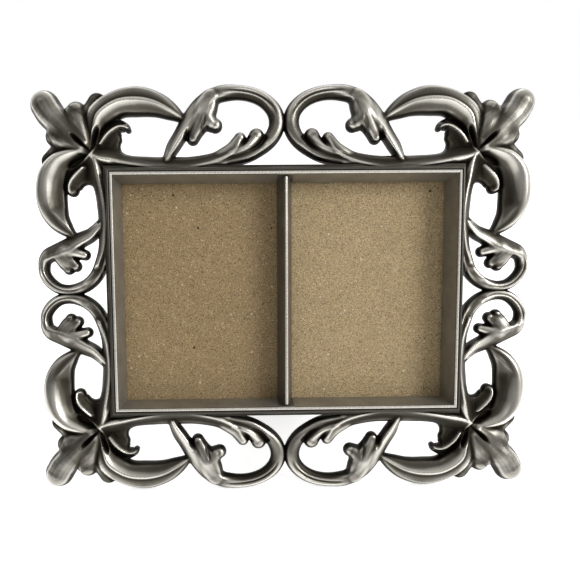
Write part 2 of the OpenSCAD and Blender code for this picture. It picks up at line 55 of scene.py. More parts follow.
# The face's place
BUTTON_MIDDLE_W = -0.6
PIVOTS = [j for name, j in JOINTS.items() if name.startswith("button")]
NORMAL = np.array(PIVOTS[0]["axis"], float)
NORMAL /= np.linalg.norm(NORMAL)
UP_FACE = np.array([0.0, NORMAL[2], -NORMAL[1]])
ACROSS = np.array([1.0, 0.0, 0.0])
FACE_MIDDLE = np.mean([j["pos_m"] for j in PIVOTS], axis=0) - NORMAL * BUTTON_MIDDLE_W * MM
FACE_AXES = np.stack([ACROSS, UP_FACE, NORMAL])


def to_world(points):
    """Face places in millimetres, as rows, in the row frame in metres."""
    return np.asarray(points, float) @ FACE_AXES * MM + FACE_MIDDLE


def put(name, data):
    """A new object in the scene."""
    piece = bpy.data.objects.new(name, data)
    bpy.context.scene.collection.objects.link(piece)
    return piece


# Camera

# The photograph's pinhole: turns about the face's right, up and outward directions, the place
# of the ledge's middle before the camera in millimetres, and the focal length and the
# principal point in pixels of the 580 pixel frame.
IMAGE_PX = 580.0
CAMERA_TURN = (0.0900, 0.0156, 0.0109)
CAMERA_OFFSET = (15.97, 15.89, -208.89)
FOCAL_PX = 560.0
PRINCIPAL_PX = (242.81, 334.95)
LEDGE_W = 10.4
SENSOR = 36.0


def turn(rx, ry, rz):
    return np.array(Matrix.Rotation(rz, 3, "Z") @ Matrix.Rotation(ry, 3, "Y")
                    @ Matrix.Rotation(rx, 3, "X"))


def make_camera():
    axes = turn(*CAMERA_TURN)
    place = -axes.T @ np.array(CAMERA_OFFSET) + np.array([0.0, 0.0, LEDGE_W])
    data = bpy.data.cameras.new("camera")
    data.sensor_width = SENSOR
    data.lens = SENSOR * FOCAL_PX / IMAGE_PX
    data.shift_x = (IMAGE_PX / 2 - PRINCIPAL_PX[0]) / IMAGE_PX
    data.shift_y = (PRINCIPAL_PX[1] - IMAGE_PX / 2) / IMAGE_PX
    data.clip_start, data.clip_end = 0.01, 20
    camera = put("camera", data)
    matrix = Matrix((axes @ FACE_AXES).T.tolist()).to_4x4()
    matrix.translation = Vector(to_world(place))
    camera.matrix_world = matrix
    bpy.context.scene.camera = camera


make_camera()


# Material helpers

FLECK_CORE_SHARE = 0.7


class Tree:
    """Short words for building nodes."""

    def __init__(self, tree):
        self.tree = tree

    def add(self, kind, **settings):
        node = self.tree.nodes.new(kind)
        for key, value in settings.items():
            setattr(node, key, value)
        return node

    def join(self, out, into):
        self.tree.links.new(out, into)

    def feed(self, source, socket):
        """Joins another node's socket, or sets a number or a colour."""
        if isinstance(source, bpy.types.NodeSocket):
            self.join(source, socket)
        else:
            socket.default_value = (*source, 1.0) if isinstance(source, tuple) else source

    def maths(self, operation, a, b=0.0, c=0.0):
        node = self.add("ShaderNodeMath", operation=operation)
        for source, socket in zip((a, b, c), node.inputs):
            self.feed(source, socket)
        return node.outputs[0]

    def dot(self, vector, direction):
        node = self.add("ShaderNodeVectorMath", operation="DOT_PRODUCT")
        self.join(vector, node.inputs[0])
        node.inputs[1].default_value = tuple(direction)
        return node.outputs["Value"]

    def sees_backdrop(self):
        """1 for rays that come from the camera or by way of a mirror or glass."""
        path = self.add("ShaderNodeLightPath").outputs
        mirrored_ray = self.maths("MAXIMUM", path["Is Glossy Ray"], path["Is Transmission Ray"])
        return self.maths("MAXIMUM", path["Is Camera Ray"], mirrored_ray)


class Nodes(Tree):
    """Short words for building a node material."""

    def __init__(self, name):
        self.material = bpy.data.materials.new(name)
        self.material.use_nodes = True
        super().__init__(self.material.node_tree)
        self.shader = self.tree.nodes["Principled BSDF"]

    def spot(self):
        return self.add("ShaderNodeTexCoord").outputs["Object"]

    def place(self, scale=(1, 1, 1)):
        mapping = self.add("ShaderNodeMapping")
        mapping.inputs["Scale"].default_value = scale
        self.join(self.spot(), mapping.inputs["Vector"])
        return mapping.outputs["Vector"]

    def noise(self, vector, scale, detail=3.0, rough=0.5, distortion=0.0):
        node = self.add("ShaderNodeTexNoise")
        node.inputs["Scale"].default_value = scale
        node.inputs["Detail"].default_value = detail
        node.inputs["Roughness"].default_value = rough
        node.inputs["Distortion"].default_value = distortion
        self.join(vector, node.inputs["Vector"])
        return node.outputs["Fac"]

    def ramp(self, value, stops):
        node = self.add("ShaderNodeValToRGB")
        elements = node.color_ramp.elements
        while len(elements) < len(stops):
            elements.new(0.5)
        for element, (at, colour) in zip(elements, stops):
            element.position = at
            colour = (colour,) * 3 if isinstance(colour, (int, float)) else colour
            element.color = (*colour, 1.0)
        self.join(value, node.inputs["Fac"])
        return node.outputs["Color"]

    def mix(self, share, a, b):
        node = self.add("ShaderNodeMix", data_type="RGBA")
        for source, k in ((share, 0), (a, 6), (b, 7)):
            self.feed(source, node.inputs[k])
        return node.outputs[2]

    def attribute(self, name):
        return self.add("ShaderNodeAttribute", attribute_name=name).outputs["Fac"]

    def by_height(self, stops):
        """A value by the height over the back of the face, from (millimetres, value) rows."""
        top = stops[-1][0]
        share = self.maths("SUBTRACT", self.dot(self.spot(), NORMAL / MM / top),
                           float(NORMAL @ FACE_MIDDLE) / MM / top)
        return self.ramp(share, [(at / top, value) for at, value in stops])

    def within(self, direction, half):
        """1 where a place on the face lies no more than half away from its middle."""
        away = self.maths("SUBTRACT", self.dot(self.spot(), direction), float(direction @ FACE_MIDDLE))
        return self.maths("LESS_THAN", self.maths("ABSOLUTE", away), half)

    def flecks(self, vector, scale, rarity, radius):
        """1 in spots about the middles of a few of a texture's cells, with soft edges."""
        cells = self.add("ShaderNodeTexVoronoi")
        cells.inputs["Scale"].default_value = scale
        self.join(vector, cells.inputs["Vector"])
        split = self.add("ShaderNodeSeparateColor")
        self.join(cells.outputs["Color"], split.inputs[0])
        chosen = self.maths("GREATER_THAN", split.outputs[0], rarity)
        core = radius * FLECK_CORE_SHARE
        spot = self.ramp(cells.outputs["Distance"], [(core, 1.0), (radius, 0.0)])
        return self.maths("MULTIPLY", chosen, spot)

    def bump(self, height, strength, distance):
        node = self.add("ShaderNodeBump")
        node.inputs["Strength"].default_value = strength
        node.inputs["Distance"].default_value = distance
        self.join(height, node.inputs["Height"])
        self.join(node.outputs["Normal"], self.shader.inputs["Normal"])

    def set(self, **values):
        for key, value in values.items():
            self.feed(value, self.shader.inputs[key.replace("_", " ")])


def dress(material, *nodes):
    for node in nodes:
        NODES[node].data.materials.clear()
        NODES[node].data.materials.append(material)


# Pewter
# The darkest colour serves patina and painted shade, the brightest burnish and painted highlights
PATINA_AND_SHADE = (0.012, 0.010, 0.007)
PEWTER_DARK = (0.048, 0.042, 0.031)
PEWTER = (0.125, 0.116, 0.098)
BURNISHED_AND_HIGHLIT = (0.88, 0.85, 0.78)
# Level of the moulding's surface by its height in millimetres: the ledge is dark with painted shade,
# the groove between the beads dark with patina and painted shade, the beads burnished and bright
# with painted highlights, and the walls round the glass even
MOULDING_LEVELS = [(0.0, 0.40), (10.3, 0.32), (10.6, 0.32), (11.2, 0.44), (14.0, 0.44),
                   (14.5, 0.24), (15.15, 0.46), (15.42, 0.90), (15.62, 0.50), (15.85, 0.94),
                   (16.0, 0.98)]
WALL_LEVELS = [(0.0, 0.58), (14.2, 0.60), (15.0, 0.56), (15.6, 0.50), (15.85, 0.92), (16.0, 0.98)]
# The divider's crest is brighter: burnished, with a painted highlight
DIVIDER_LEVELS = [(0.0, 0.50), (14.1, 0.54), (14.5, 0.80), (16.0, 0.80)]
DIVIDER_HALF = 3.0 * MM
# Half the opening within the inner bead
INNER_HALF_W, INNER_HALF_H = 62.3 * MM, 42.4 * MM


def pewter(name, relief=None):
    """Antiqued pewter, whose level carries painted shade and highlights as well as patina and
    burnish. relief names an attribute: 0 in a hollow, 0.5 on a plain surface and 1 on a ridge."""
    m = Nodes(name)
    place = m.place()
    cloud = m.noise(place, 130, 4, 0.55)
    grain = m.noise(place, 2600, 2, 0.6)
    brushed = m.noise(m.place((1400, 300, 4200)), 1.0, 2, 0.5)
    wear = m.maths("MULTIPLY_ADD", cloud, 0.10, -0.05)
    if relief:
        level = m.maths("ADD", m.attribute(relief), wear)
        metallic = 0.92
    else:
        inner = m.maths("MULTIPLY", m.within(ACROSS, INNER_HALF_W), m.within(UP_FACE, INNER_HALF_H))
        walls = m.mix(m.within(ACROSS, DIVIDER_HALF), m.by_height(WALL_LEVELS),
                      m.by_height(DIVIDER_LEVELS))
        level = m.maths("ADD", m.mix(inner, m.by_height(MOULDING_LEVELS), walls), wear)
        metallic = 0.55
    level = m.maths("MULTIPLY_ADD", brushed, 0.06, m.maths("SUBTRACT", level, 0.03))
    # From dark to bright: patina and painted shade, plain pewter, then burnish and painted highlights
    colour = m.ramp(level, [(0.08, PATINA_AND_SHADE), (0.33, PEWTER_DARK), (0.52, PEWTER), (0.84, BURNISHED_AND_HIGHLIT)])
    rough = m.ramp(level, [(0.12, 0.52), (0.45, 0.38), (0.85, 0.27)])
    rough = m.maths("MULTIPLY_ADD", grain, 0.10, m.maths("SUBTRACT", rough, 0.05))
    m.set(Base_Color=colour, Metallic=metallic, Roughness=rough)
    height = m.maths("MULTIPLY_ADD", cloud, 0.6, m.maths("MULTIPLY", grain, 0.4))
    m.bump(height, 0.2, 0.0002)
    return m.material


# Scrollwork

# Places in the border are shares: 0 on the frame's centre line, 1 on the moulding's outer edge,
# 2 on the border's outer edge. Half widths are shares of the border's width and heights are
# shares of the relief. A quarter is drawn once, for the upper right, and mirrored.
OUTER_W, OUTER_H = 133.0, 93.2
BORDER_W = 30.5
RELIEF_H = 11.8
SCROLL_BACK = 4.6
WEB_TOP = 6.2
# The strands' half widths are written fuller than they are by this share
STRAND_SHARE = 0.92
# The moulding's ledge, which the castings lap over
LEDGE_TOP_W = 10.42
LEDGE_WIDTH = 1.48
LEDGE_PLAY = 0.05
SEAM_COVER = 2.4
# The rounding of the edges: its width, the share of the height that it leaves, the walls' drop
EDGE_ROUND = 1.1
EDGE_SHARE = 0.45
EDGE_DROP = 0.4
# A ridge's flanks hollow out to this floor, and end this far from its crest
HOLLOW_FLOOR = 6.4
RIDGE_REACH = 8.0
# How far from their lines the web, the cuts and the rubbed crests with their painted highlights are
# looked for, and the room about a strand and about the border
WEB_REACH, CUT_REACH, RUBBED_AND_HIGHLIT_REACH = 12.0, 2.5, 6.0
MARGIN = 2.0
# A strand's fall beyond its outline, and the value far from everything
WALL_SLOPE = 5.0
FAR = -60.0
# How far meetings fill out: of the outlines, of the petals and of all surfaces
FILLET = 0.3
PETAL_SOFT = 0.8
TOP_SOFT = 0.22
# What filling out lifts the flower and, as a share of its softness, a meeting by
PETAL_LIFT, MEETING_LIFT_SHARE = 0.5, 0.3
# A cut's least half width and the power that its sides follow
CUT_LEAST_HALF, CUT_POWER = 0.05, 0.8
TOUCHING = 1e-6
# The metal's level by its form: hollows, edges, walls and cuts are darker, with patina and painted
# shade, and crests and heights brighter, with burnish and painted highlights. Fine and broad form
# is what this many rounds of smoothing take away.
PLAIN_LEVEL = 0.44
WALL_LEVEL = 0.22
FORM_ROUNDS, SMOOTH_ROUNDS, FINE_ROUNDS, BROAD_ROUNDS = 2, 4, 16, 180
FINE_GAIN, FINE_DARKEST, FINE_BRIGHTEST = 2.8, -0.20, 0.28
BROAD_HOLLOW, BROAD_CREST = 0.46, 0.14
HEIGHT_GAIN, HEIGHT_PLAIN = 0.16, 0.6
EDGE_SHADE = 0.15
EDGE_SHADE_WIDTH = 1.3
CUT_SHADE = 0.25
# The grid over a quarter, and how its rim is drawn on to the outline
FULL_COLUMNS = 332
COLUMNS = FULL_COLUMNS
ROWS = 233
RIM_ROUNDS, RIM_STEP, RIM_LEAST_SLOPE, NUDGE = 4, 0.12, 0.2, 0.02


def across(share, half):
    return share * half if share < 1 else half + (share - 1) * BORDER_W


def smooth_run(rows, scales, steps=6):
    """A smooth run through rows of shares, in millimetres, with steps stations a stretch."""
    p = np.array([[across(r[0], OUTER_W / 2), across(r[1], OUTER_H / 2)]
                  + [v * scale for v, scale in zip(r[2:], scales)] for r in rows], float)
    n = len(p) - 1
    out = []
    for i in range(n):
        a, b, c, d = p[max(i - 1, 0)], p[i], p[i + 1], p[min(i + 2, n)]
        for k in range(steps):
            t = k / steps
            out.append(b + 0.5 * t * (c - a + t * (2 * a - 5 * b + 4 * c - d
                                                   + t * (3 * (b - c) + d - a))))
    out.append(p[n])
    return np.array(out)


def nearest(points, line, reach):
    """Distance to a line, its side (1 left of the run, -1 right) and the place along it."""
    gap = np.full(len(points), np.inf)
    side = np.ones(len(points))
    at = np.zeros(len(points))
    for i, (a, b) in enumerate(zip(line[:-1, :2], line[1:, :2])):
        low, high = np.minimum(a, b) - reach, np.maximum(a, b) + reach
        near = np.flatnonzero(((points > low) & (points < high)).all(1))
        step = b - a
        offset = points[near] - a
        t = np.clip(offset @ step / (step @ step), 0, 1)
        away = np.hypot(*(offset - t[:, None] * step).T)
        closer = away < gap[near]
        hit = near[closer]
        gap[hit] = away[closer]
        turned = step[0] * offset[closer, 1] - step[1] * offset[closer, 0]
        side[hit] = np.where(turned < 0, -1.0, 1.0)
        at[hit] = i + t[closer]
    return gap, side, at


def along(line, column, at):
    return np.interp(at, np.arange(len(line)), line[:, column])


# Sections across a strand: side in half widths, from the right of its run to the left, and
# rise from the scrolls' back in shares of the strand's height there
def mirrored(section):
    return [(-side, rise) for side, rise in reversed(section)]


def even(half):
    """A section that is the same to both sides, from its middle outwards."""
    return mirrored(half[1:]) + half


VAULT = even([(0, 1), (0.22, 0.99), (0.48, 0.92), (0.72, 0.78), (0.9, 0.56), (1, 0.34)])
FACE = even([(0, 1), (0.5, 0.96), (0.8, 0.84), (1, 0.62), (1.1, 0.50)])
BOWL_BODY = even([(0, 0.48), (0.8, 0.46), (1, 0.42)])
FLAT = [(-1, 0.45), (-0.85, 0.78), (-0.6, 0.93), (-0.2, 1), (0.2, 0.99), (0.6, 0.92),
        (0.85, 0.76), (1, 0.45)]
RIM_BODY = [(-1, 0.34), (-0.88, 0.46), (-0.6, 0.53), (-0.2, 0.60), (0.15, 0.69), (0.45, 0.81),
            (0.7, 0.90), (1, 0.84)]
RIM_BAND = [(-1, 0.34), (-0.85, 0.54), (-0.6, 0.78), (-0.3, 0.94), (0, 1), (0.3, 0.97),
            (0.6, 0.85), (0.85, 0.62), (1, 0.38)]
RIM_BEADED = [(-1, 0.24), (-0.85, 0.36), (-0.6, 0.56), (-0.36, 0.80), (-0.22, 1), (-0.14, 0.97),
              (-0.03, 0.74), (0.08, 0.80), (0.3, 0.97), (0.55, 0.96), (0.8, 0.76), (0.92, 0.56),
              (1, 0.36)]
STEM_BODY = [(-1, 0.52), (-0.9, 0.78), (-0.75, 0.94), (-0.55, 1), (-0.25, 0.99), (0.1, 0.90),
             (0.45, 0.74), (0.75, 0.58), (0.92, 0.50), (1, 0.38)]
LEAF_BODY = [(-1, 0.40), (-0.92, 0.56), (-0.75, 0.72), (-0.5, 0.82), (-0.3, 0.85), (-0.14, 0.86),
             (-0.05, 0.96), (0.03, 1), (0.16, 0.98), (0.35, 0.88), (0.55, 0.74), (0.75, 0.62),
             (0.92, 0.52), (1, 0.40)]
SIDE_LEAF_BODY = [(-1, 0.40), (-0.9, 0.45), (-0.7, 0.50), (-0.5, 0.57), (-0.3, 0.68),
                  (-0.1, 0.82), (0.1, 0.93), (0.3, 0.99), (0.5, 1), (0.7, 0.93), (0.88, 0.76),
                  (1, 0.5)]
SECTION_END = 1.2
SECTION_TABLE = np.linspace(-SECTION_END, SECTION_END, 241)
ROUNDING_STEPS = 3


def rise_at(section, place):
    """The section's rise, with its corners rounded a little."""
    rise = np.interp(SECTION_TABLE, *np.array(section).T)
    width = 2 * ROUNDING_STEPS + 1
    for _ in range(2):
        rise = np.convolve(np.pad(rise, ROUNDING_STEPS, "edge"), np.ones(width) / width, "valid")
    return np.interp(place, SECTION_TABLE, rise)


# Each strand: its run (across, up, half width, height) and its sections with their shares of it
TOP_RIM = [(1.16, 1.18, 0.05, 0.74), (1.02, 1.14, 0.09, 0.86), (0.88, 1.07, 0.088, 0.93),
           (0.76, 1.05, 0.09, 0.95), (0.64, 1.045, 0.09, 0.96), (0.52, 1.045, 0.094, 0.95),
           (0.42, 1.075, 0.096, 0.92), (0.32, 1.115, 0.11, 0.87), (0.22, 1.15, 0.11, 0.81),
           (0.14, 1.225, 0.10, 0.75), (0.08, 1.325, 0.10, 0.70), (0.046, 1.45, 0.106, 0.68),
           (0.04, 1.575, 0.106, 0.67), (0.063, 1.695, 0.10, 0.67), (0.112, 1.797, 0.094, 0.67),
           (0.178, 1.862, 0.092, 0.68), (0.258, 1.89, 0.092, 0.69), (0.335, 1.88, 0.10, 0.70),
           (0.40, 1.835, 0.09, 0.66), (0.45, 1.76, 0.07, 0.56)]
TOP_STEM = [(0.25, 1.885, 0.07, 0.56), (0.33, 1.885, 0.09, 0.68), (0.40, 1.84, 0.10, 0.73),
            (0.457, 1.75, 0.11, 0.75), (0.505, 1.63, 0.11, 0.76), (0.545, 1.50, 0.106, 0.77),
            (0.584, 1.37, 0.095, 0.78), (0.622, 1.24, 0.09, 0.79), (0.656, 1.10, 0.06, 0.78)]
TOP_LEAF = [(1.16, 1.21, 0.05, 0.76), (1.11, 1.43, 0.13, 0.88), (1.04, 1.61, 0.17, 0.94),
            (0.92, 1.75, 0.175, 0.94), (0.81, 1.785, 0.19, 0.89), (0.71, 1.75, 0.16, 0.83),
            (0.63, 1.67, 0.115, 0.74), (0.565, 1.58, 0.05, 0.64)]
TOP_CURL = [(1.15, 1.17, 0.08, 0.76), (1.07, 1.27, 0.15, 0.82), (1.00, 1.365, 0.15, 0.82),
            (0.95, 1.445, 0.12, 0.80), (0.918, 1.495, 0.085, 0.75), (0.882, 1.48, 0.06, 0.69),
            (0.868, 1.45, 0.04, 0.62)]
TOP_HOOK = [(0.41, 1.81, 0.12, 0.74), (0.432, 1.70, 0.146, 0.78), (0.458, 1.56, 0.13, 0.79),
            (0.490, 1.43, 0.098, 0.76), (0.510, 1.34, 0.082, 0.70)]
SIDE_RIM = [(1.18, 1.16, 0.05, 0.74), (1.12, 1.01, 0.08, 0.86), (1.07, 0.88, 0.09, 0.93),
            (1.04, 0.76, 0.085, 0.95), (1.03, 0.63, 0.08, 0.96), (1.03, 0.50, 0.08, 0.95),
            (1.035, 0.38, 0.08, 0.93), (1.07, 0.27, 0.085, 0.88), (1.135, 0.165, 0.09, 0.80),
            (1.235, 0.09, 0.086, 0.73), (1.36, 0.046, 0.084, 0.69), (1.49, 0.031, 0.078, 0.67),
            (1.62, 0.047, 0.074, 0.67), (1.728, 0.10, 0.076, 0.67), (1.79, 0.17, 0.074, 0.68),
            (1.79, 0.245, 0.074, 0.69), (1.74, 0.315, 0.086, 0.69), (1.66, 0.345, 0.07, 0.58)]
SIDE_STEM = [(1.79, 0.21, 0.06, 0.56), (1.78, 0.275, 0.08, 0.68), (1.70, 0.322, 0.096, 0.73),
             (1.57, 0.362, 0.106, 0.75), (1.45, 0.395, 0.112, 0.76), (1.32, 0.438, 0.105, 0.77),
             (1.20, 0.477, 0.094, 0.80), (1.09, 0.545, 0.075, 0.84)]
SIDE_LEAF = [(1.20, 1.19, 0.05, 0.76), (1.38, 1.13, 0.11, 0.88), (1.54, 1.04, 0.15, 0.94),
             (1.635, 0.93, 0.186, 0.94), (1.663, 0.80, 0.198, 0.90), (1.648, 0.69, 0.188, 0.85),
             (1.592, 0.595, 0.15, 0.79), (1.50, 0.52, 0.10, 0.71), (1.42, 0.475, 0.05, 0.64)]
SIDE_CURL = [(1.18, 1.17, 0.07, 0.76), (1.25, 1.05, 0.13, 0.82), (1.33, 0.957, 0.13, 0.82),
             (1.395, 0.865, 0.11, 0.76), (1.405, 0.825, 0.08, 0.70)]
STRANDS = [
    (TOP_RIM, [(0, RIM_BODY), (0.36, RIM_BODY), (0.5, RIM_BAND), (0.64, RIM_BAND),
               (0.74, RIM_BEADED), (0.83, RIM_BEADED), (0.92, RIM_BAND)]),
    (TOP_STEM, [(0, RIM_BAND), (0.25, STEM_BODY)]),
    (TOP_LEAF, [(0, LEAF_BODY)]),
    (TOP_CURL, [(0, BOWL_BODY)]),
    (TOP_HOOK, [(0, FLAT)]),
    (SIDE_RIM, [(0, mirrored(RIM_BODY)), (0.42, mirrored(RIM_BODY)), (0.54, mirrored(STEM_BODY)),
                (0.7, mirrored(RIM_BEADED)), (0.83, mirrored(RIM_BEADED)), (0.92, RIM_BAND)]),
    (SIDE_STEM, [(0, RIM_BAND), (0.25, mirrored(STEM_BODY))]),
    (SIDE_LEAF, [(0, SIDE_LEAF_BODY)]),
    (SIDE_CURL, [(0, BOWL_BODY)])]
# The strands and lobes that run smoothly into each other, with how far their meeting fills out
MEETINGS = [((0, 5), 0.7), ((0, 1, 4, 11), 0.6), ((5, 6, 12, 13, 14), 0.6)]
# Lobes: round-ended fingers
LOBES = [
    ([(0.30, 1.14, 0.07, 0.82), (0.255, 1.178, 0.08, 0.81), (0.205, 1.235, 0.085, 0.79),
      (0.175, 1.30, 0.09, 0.75), (0.155, 1.37, 0.094, 0.69)], VAULT),
    ([(0.41, 1.08, 0.05, 0.66), (0.35, 1.14, 0.08, 0.78), (0.29, 1.22, 0.085, 0.80),
      (0.247, 1.345, 0.072, 0.70)], VAULT),
    ([(0.445, 1.62, 0.11, 0.78), (0.41, 1.53, 0.10, 0.76), (0.384, 1.496, 0.086, 0.70)], VAULT),
    ([(1.50, 0.345, 0.10, 0.76), (1.40, 0.335, 0.085, 0.74), (1.285, 0.314, 0.067, 0.66)], VAULT),
    ([(1.54, 0.32, 0.10, 0.74), (1.475, 0.265, 0.10, 0.71), (1.40, 0.225, 0.07, 0.66)], FLAT),
    ([(1.58, 0.30, 0.09, 0.73), (1.52, 0.245, 0.09, 0.70), (1.487, 0.20, 0.066, 0.64)], FLAT),
    ([(1.20, 1.62, 0.10, 0.70), (1.08, 1.775, 0.114, 0.60)], VAULT),
    ([(1.55, 1.22, 0.10, 0.70), (1.665, 1.09, 0.108, 0.60)], VAULT)]
# Petals of the corner flower and the smooth face that they grow out of
PETALS = [
    [(1.24, 1.25, 0.07, 0.88), (1.58, 1.565, 0.165, 0.97), (1.705, 1.745, 0.174, 0.93)],
    [(1.21, 1.30, 0.08, 0.83), (1.28, 1.50, 0.12, 0.90), (1.335, 1.665, 0.124, 0.78)],
    [(1.28, 1.22, 0.08, 0.83), (1.45, 1.31, 0.12, 0.89), (1.59, 1.375, 0.124, 0.76)]]
FLOWER_FACE = [(1.18, 1.18, 0.07, 0.82), (1.30, 1.31, 0.20, 0.90), (1.40, 1.41, 0.24, 0.92),
               (1.50, 1.52, 0.20, 0.88)]
# The low web between them, whose edge rounds the openings' corners
WEB = [(0.30, 0.96), (0.34, 1.10), (0.60, 1.08), (0.76, 1.09), (0.83, 1.115), (0.88, 1.152),
       (0.908, 1.205), (0.915, 1.27), (0.905, 1.33), (0.915, 1.39), (0.96, 1.42), (1.03, 1.40),
       (1.15, 1.36),
       (1.36, 1.16), (1.41, 0.99), (1.35, 0.88), (1.315, 0.832), (1.285, 0.855), (1.224, 0.871),
       (1.163, 0.858), (1.123, 0.819), (1.107, 0.76), (1.10, 0.68), (1.06, 0.55), (1.06, 0.26),
       (0.96, 0.20), (0.96, 0.96)]
# Ridges: across, up, height, with the slopes of their left and right flanks and their bluntness
RIDGES = [
    ([(1.134, 1.12, 0.90), (1.04, 1.085, 0.92), (0.944, 1.053, 0.935), (0.849, 1.012, 0.945),
      (0.746, 0.985, 0.95), (0.652, 0.973, 0.95), (0.549, 0.977, 0.95), (0.47, 0.993, 0.93),
      (0.391, 1.035, 0.90), (0.343, 1.077, 0.87), (0.304, 1.128, 0.845), (0.272, 1.19, 0.82),
      (0.258, 1.25, 0.78), (0.246, 1.31, 0.73)], 1.3, 0.9, 0.3),
    ([(0.26, 1.176, 0.80), (0.215, 1.215, 0.80), (0.183, 1.27, 0.775), (0.163, 1.33, 0.73)],
     0.8, 0.8, 0.3),
    ([(1.12, 1.115, 0.90), (1.085, 1.03, 0.92), (1.051, 0.904, 0.935), (1.012, 0.772, 0.95),
      (0.994, 0.627, 0.95), (0.998, 0.459, 0.94), (1.03, 0.346, 0.90), (1.105, 0.232, 0.83)],
     0.9, 1.3, 0.3),
    ([(0.86, 1.445, 0.72), (0.885, 1.470, 0.77), (0.918, 1.465, 0.80), (0.952, 1.420, 0.83),
      (0.985, 1.355, 0.82), (1.035, 1.275, 0.76)], 1.5, 2.2, 0.25),
    ([(1.26, 0.995, 0.75), (1.288, 0.977, 0.78), (1.351, 0.935, 0.81), (1.402, 0.895, 0.80),
      (1.432, 0.852, 0.77), (1.428, 0.81, 0.72)], 2.2, 1.5, 0.25),
    ([(1.755, 0.727, 0.74), (1.65, 0.655, 0.80), (1.535, 0.571, 0.75), (1.43, 0.504, 0.66)],
     0.22, 0.5, 0.5)]
# Cuts, and lips where the depth is below nothing: across, up, half width and depth
CUTS = [
    [(1.16, 1.18, 0.008, 0.06), (1.265, 1.275, 0.022, 0.34), (1.33, 1.335, 0.024, 0.28),
     (1.375, 1.385, 0.008, 0.04)],
    [(1.145, 1.20, 0.008, 0.06), (1.115, 1.31, 0.024, 0.26), (1.08, 1.40, 0.034, 0.30),
     (1.055, 1.46, 0.016, 0.06)],
    [(1.19, 1.14, 0.008, 0.06), (1.305, 1.085, 0.024, 0.26), (1.38, 1.035, 0.032, 0.26),
     (1.43, 1.005, 0.016, 0.06)],
    [(1.022, 1.463, 0.012, -0.02), (1.052, 1.37, 0.014, -0.06), (1.088, 1.27, 0.014, -0.06),
     (1.125, 1.18, 0.016, -0.06), (1.15, 1.14, 0.018, -0.06), (1.19, 1.115, 0.016, -0.06),
     (1.29, 1.05, 0.014, -0.06), (1.375, 1.00, 0.014, -0.06), (1.455, 0.978, 0.012, -0.02)],
    [(0.438, 1.61, 0.010, 0.0), (0.447, 1.52, 0.022, 0.05), (0.456, 1.41, 0.026, 0.12)],
    [(0.530, 1.47, 0.012, 0.0), (0.542, 1.38, 0.030, 0.18), (0.545, 1.30, 0.036, 0.26)],
    [(0.245, 1.215, 0.010, 0.0), (0.222, 1.27, 0.024, 0.14), (0.20, 1.34, 0.030, 0.18)],
    [(0.205, 1.165, 0.010, 0.0), (0.146, 1.235, 0.026, 0.13), (0.105, 1.34, 0.030, 0.15)],
    [(0.857, 1.52, 0.030, 0.10), (0.912, 1.525, 0.034, 0.16), (0.975, 1.47, 0.034, 0.18),
     (1.025, 1.37, 0.020, 0.08)],
    [(1.42, 1.00, 0.010, 0.0), (1.45, 0.92, 0.026, 0.12), (1.475, 0.84, 0.034, 0.16)],
    [(1.42, 0.30, 0.010, 0.0), (1.36, 0.275, 0.024, 0.14), (1.29, 0.262, 0.028, 0.16)],
    [(1.48, 0.225, 0.010, 0.0), (1.45, 0.20, 0.022, 0.06), (1.43, 0.185, 0.024, 0.10)]]

# Crests that are rubbed bright and carry painted highlights: across, up, half width and how much
BURNISHED_AND_HIGHLIT_CRESTS = [
    [(0.40, 1.79, 0.05, 0.06), (0.44, 1.69, 0.07, 0.20), (0.48, 1.58, 0.06, 0.20),
     (0.51, 1.43, 0.04, 0.10)],
    [(0.41, 1.85, 0.03, 0.04), (0.47, 1.77, 0.05, 0.14), (0.51, 1.66, 0.06, 0.20),
     (0.55, 1.47, 0.05, 0.20), (0.60, 1.26, 0.05, 0.16), (0.645, 1.11, 0.03, 0.08)],
    [(0.72, 1.765, 0.03, 0.04), (0.82, 1.755, 0.05, 0.10), (0.90, 1.71, 0.06, 0.12),
     (0.97, 1.63, 0.06, 0.12), (1.03, 1.54, 0.06, 0.10), (1.11, 1.42, 0.05, 0.06)],
    [(1.30, 1.14, 0.05, 0.10), (1.45, 1.06, 0.07, 0.18), (1.575, 0.96, 0.08, 0.20),
     (1.665, 0.85, 0.08, 0.18), (1.695, 0.74, 0.05, 0.08)],
    [(0.145, 1.37, 0.03, 0.10), (0.18, 1.28, 0.03, 0.16), (0.225, 1.21, 0.03, 0.14),
     (0.27, 1.16, 0.02, 0.04)],
    [(0.23, 1.33, 0.03, 0.12), (0.275, 1.20, 0.03, 0.18), (0.33, 1.12, 0.03, 0.16),
     (0.385, 1.07, 0.02, 0.06)],
    [(1.27, 0.32, 0.05, 0.10), (1.40, 0.32, 0.08, 0.16), (1.52, 0.30, 0.10, 0.14),
     (1.62, 0.29, 0.07, 0.04)],
    [(1.07, 0.53, 0.06, 0.14), (1.16, 0.467, 0.07, 0.14), (1.26, 0.41, 0.07, 0.12),
     (1.38, 0.37, 0.07, 0.08), (1.50, 0.345, 0.06, 0.02)],
    [(1.75, 0.25, 0.03, 0.06), (1.78, 0.177, 0.03, 0.12), (1.745, 0.10, 0.03, 0.14),
     (1.64, 0.045, 0.03, 0.16), (1.49, 0.025, 0.03, 0.16), (1.35, 0.05, 0.03, 0.10)],
    [(0.33, 1.89, 0.04, 0.06), (0.25, 1.91, 0.04, 0.12), (0.17, 1.89, 0.04, 0.12),
     (0.10, 1.83, 0.04, 0.10), (0.05, 1.72, 0.04, 0.08), (0.03, 1.56, 0.04, 0.06)],
    [(1.46, 1.54, 0.07, -0.02), (1.56, 1.61, 0.07, 0.06), (1.64, 1.68, 0.05, 0.02)],
    [(1.09, 1.77, 0.05, 0.34), (1.17, 1.68, 0.05, 0.34)],
    [(1.63, 1.15, 0.05, 0.34), (1.69, 1.06, 0.05, 0.34)]]


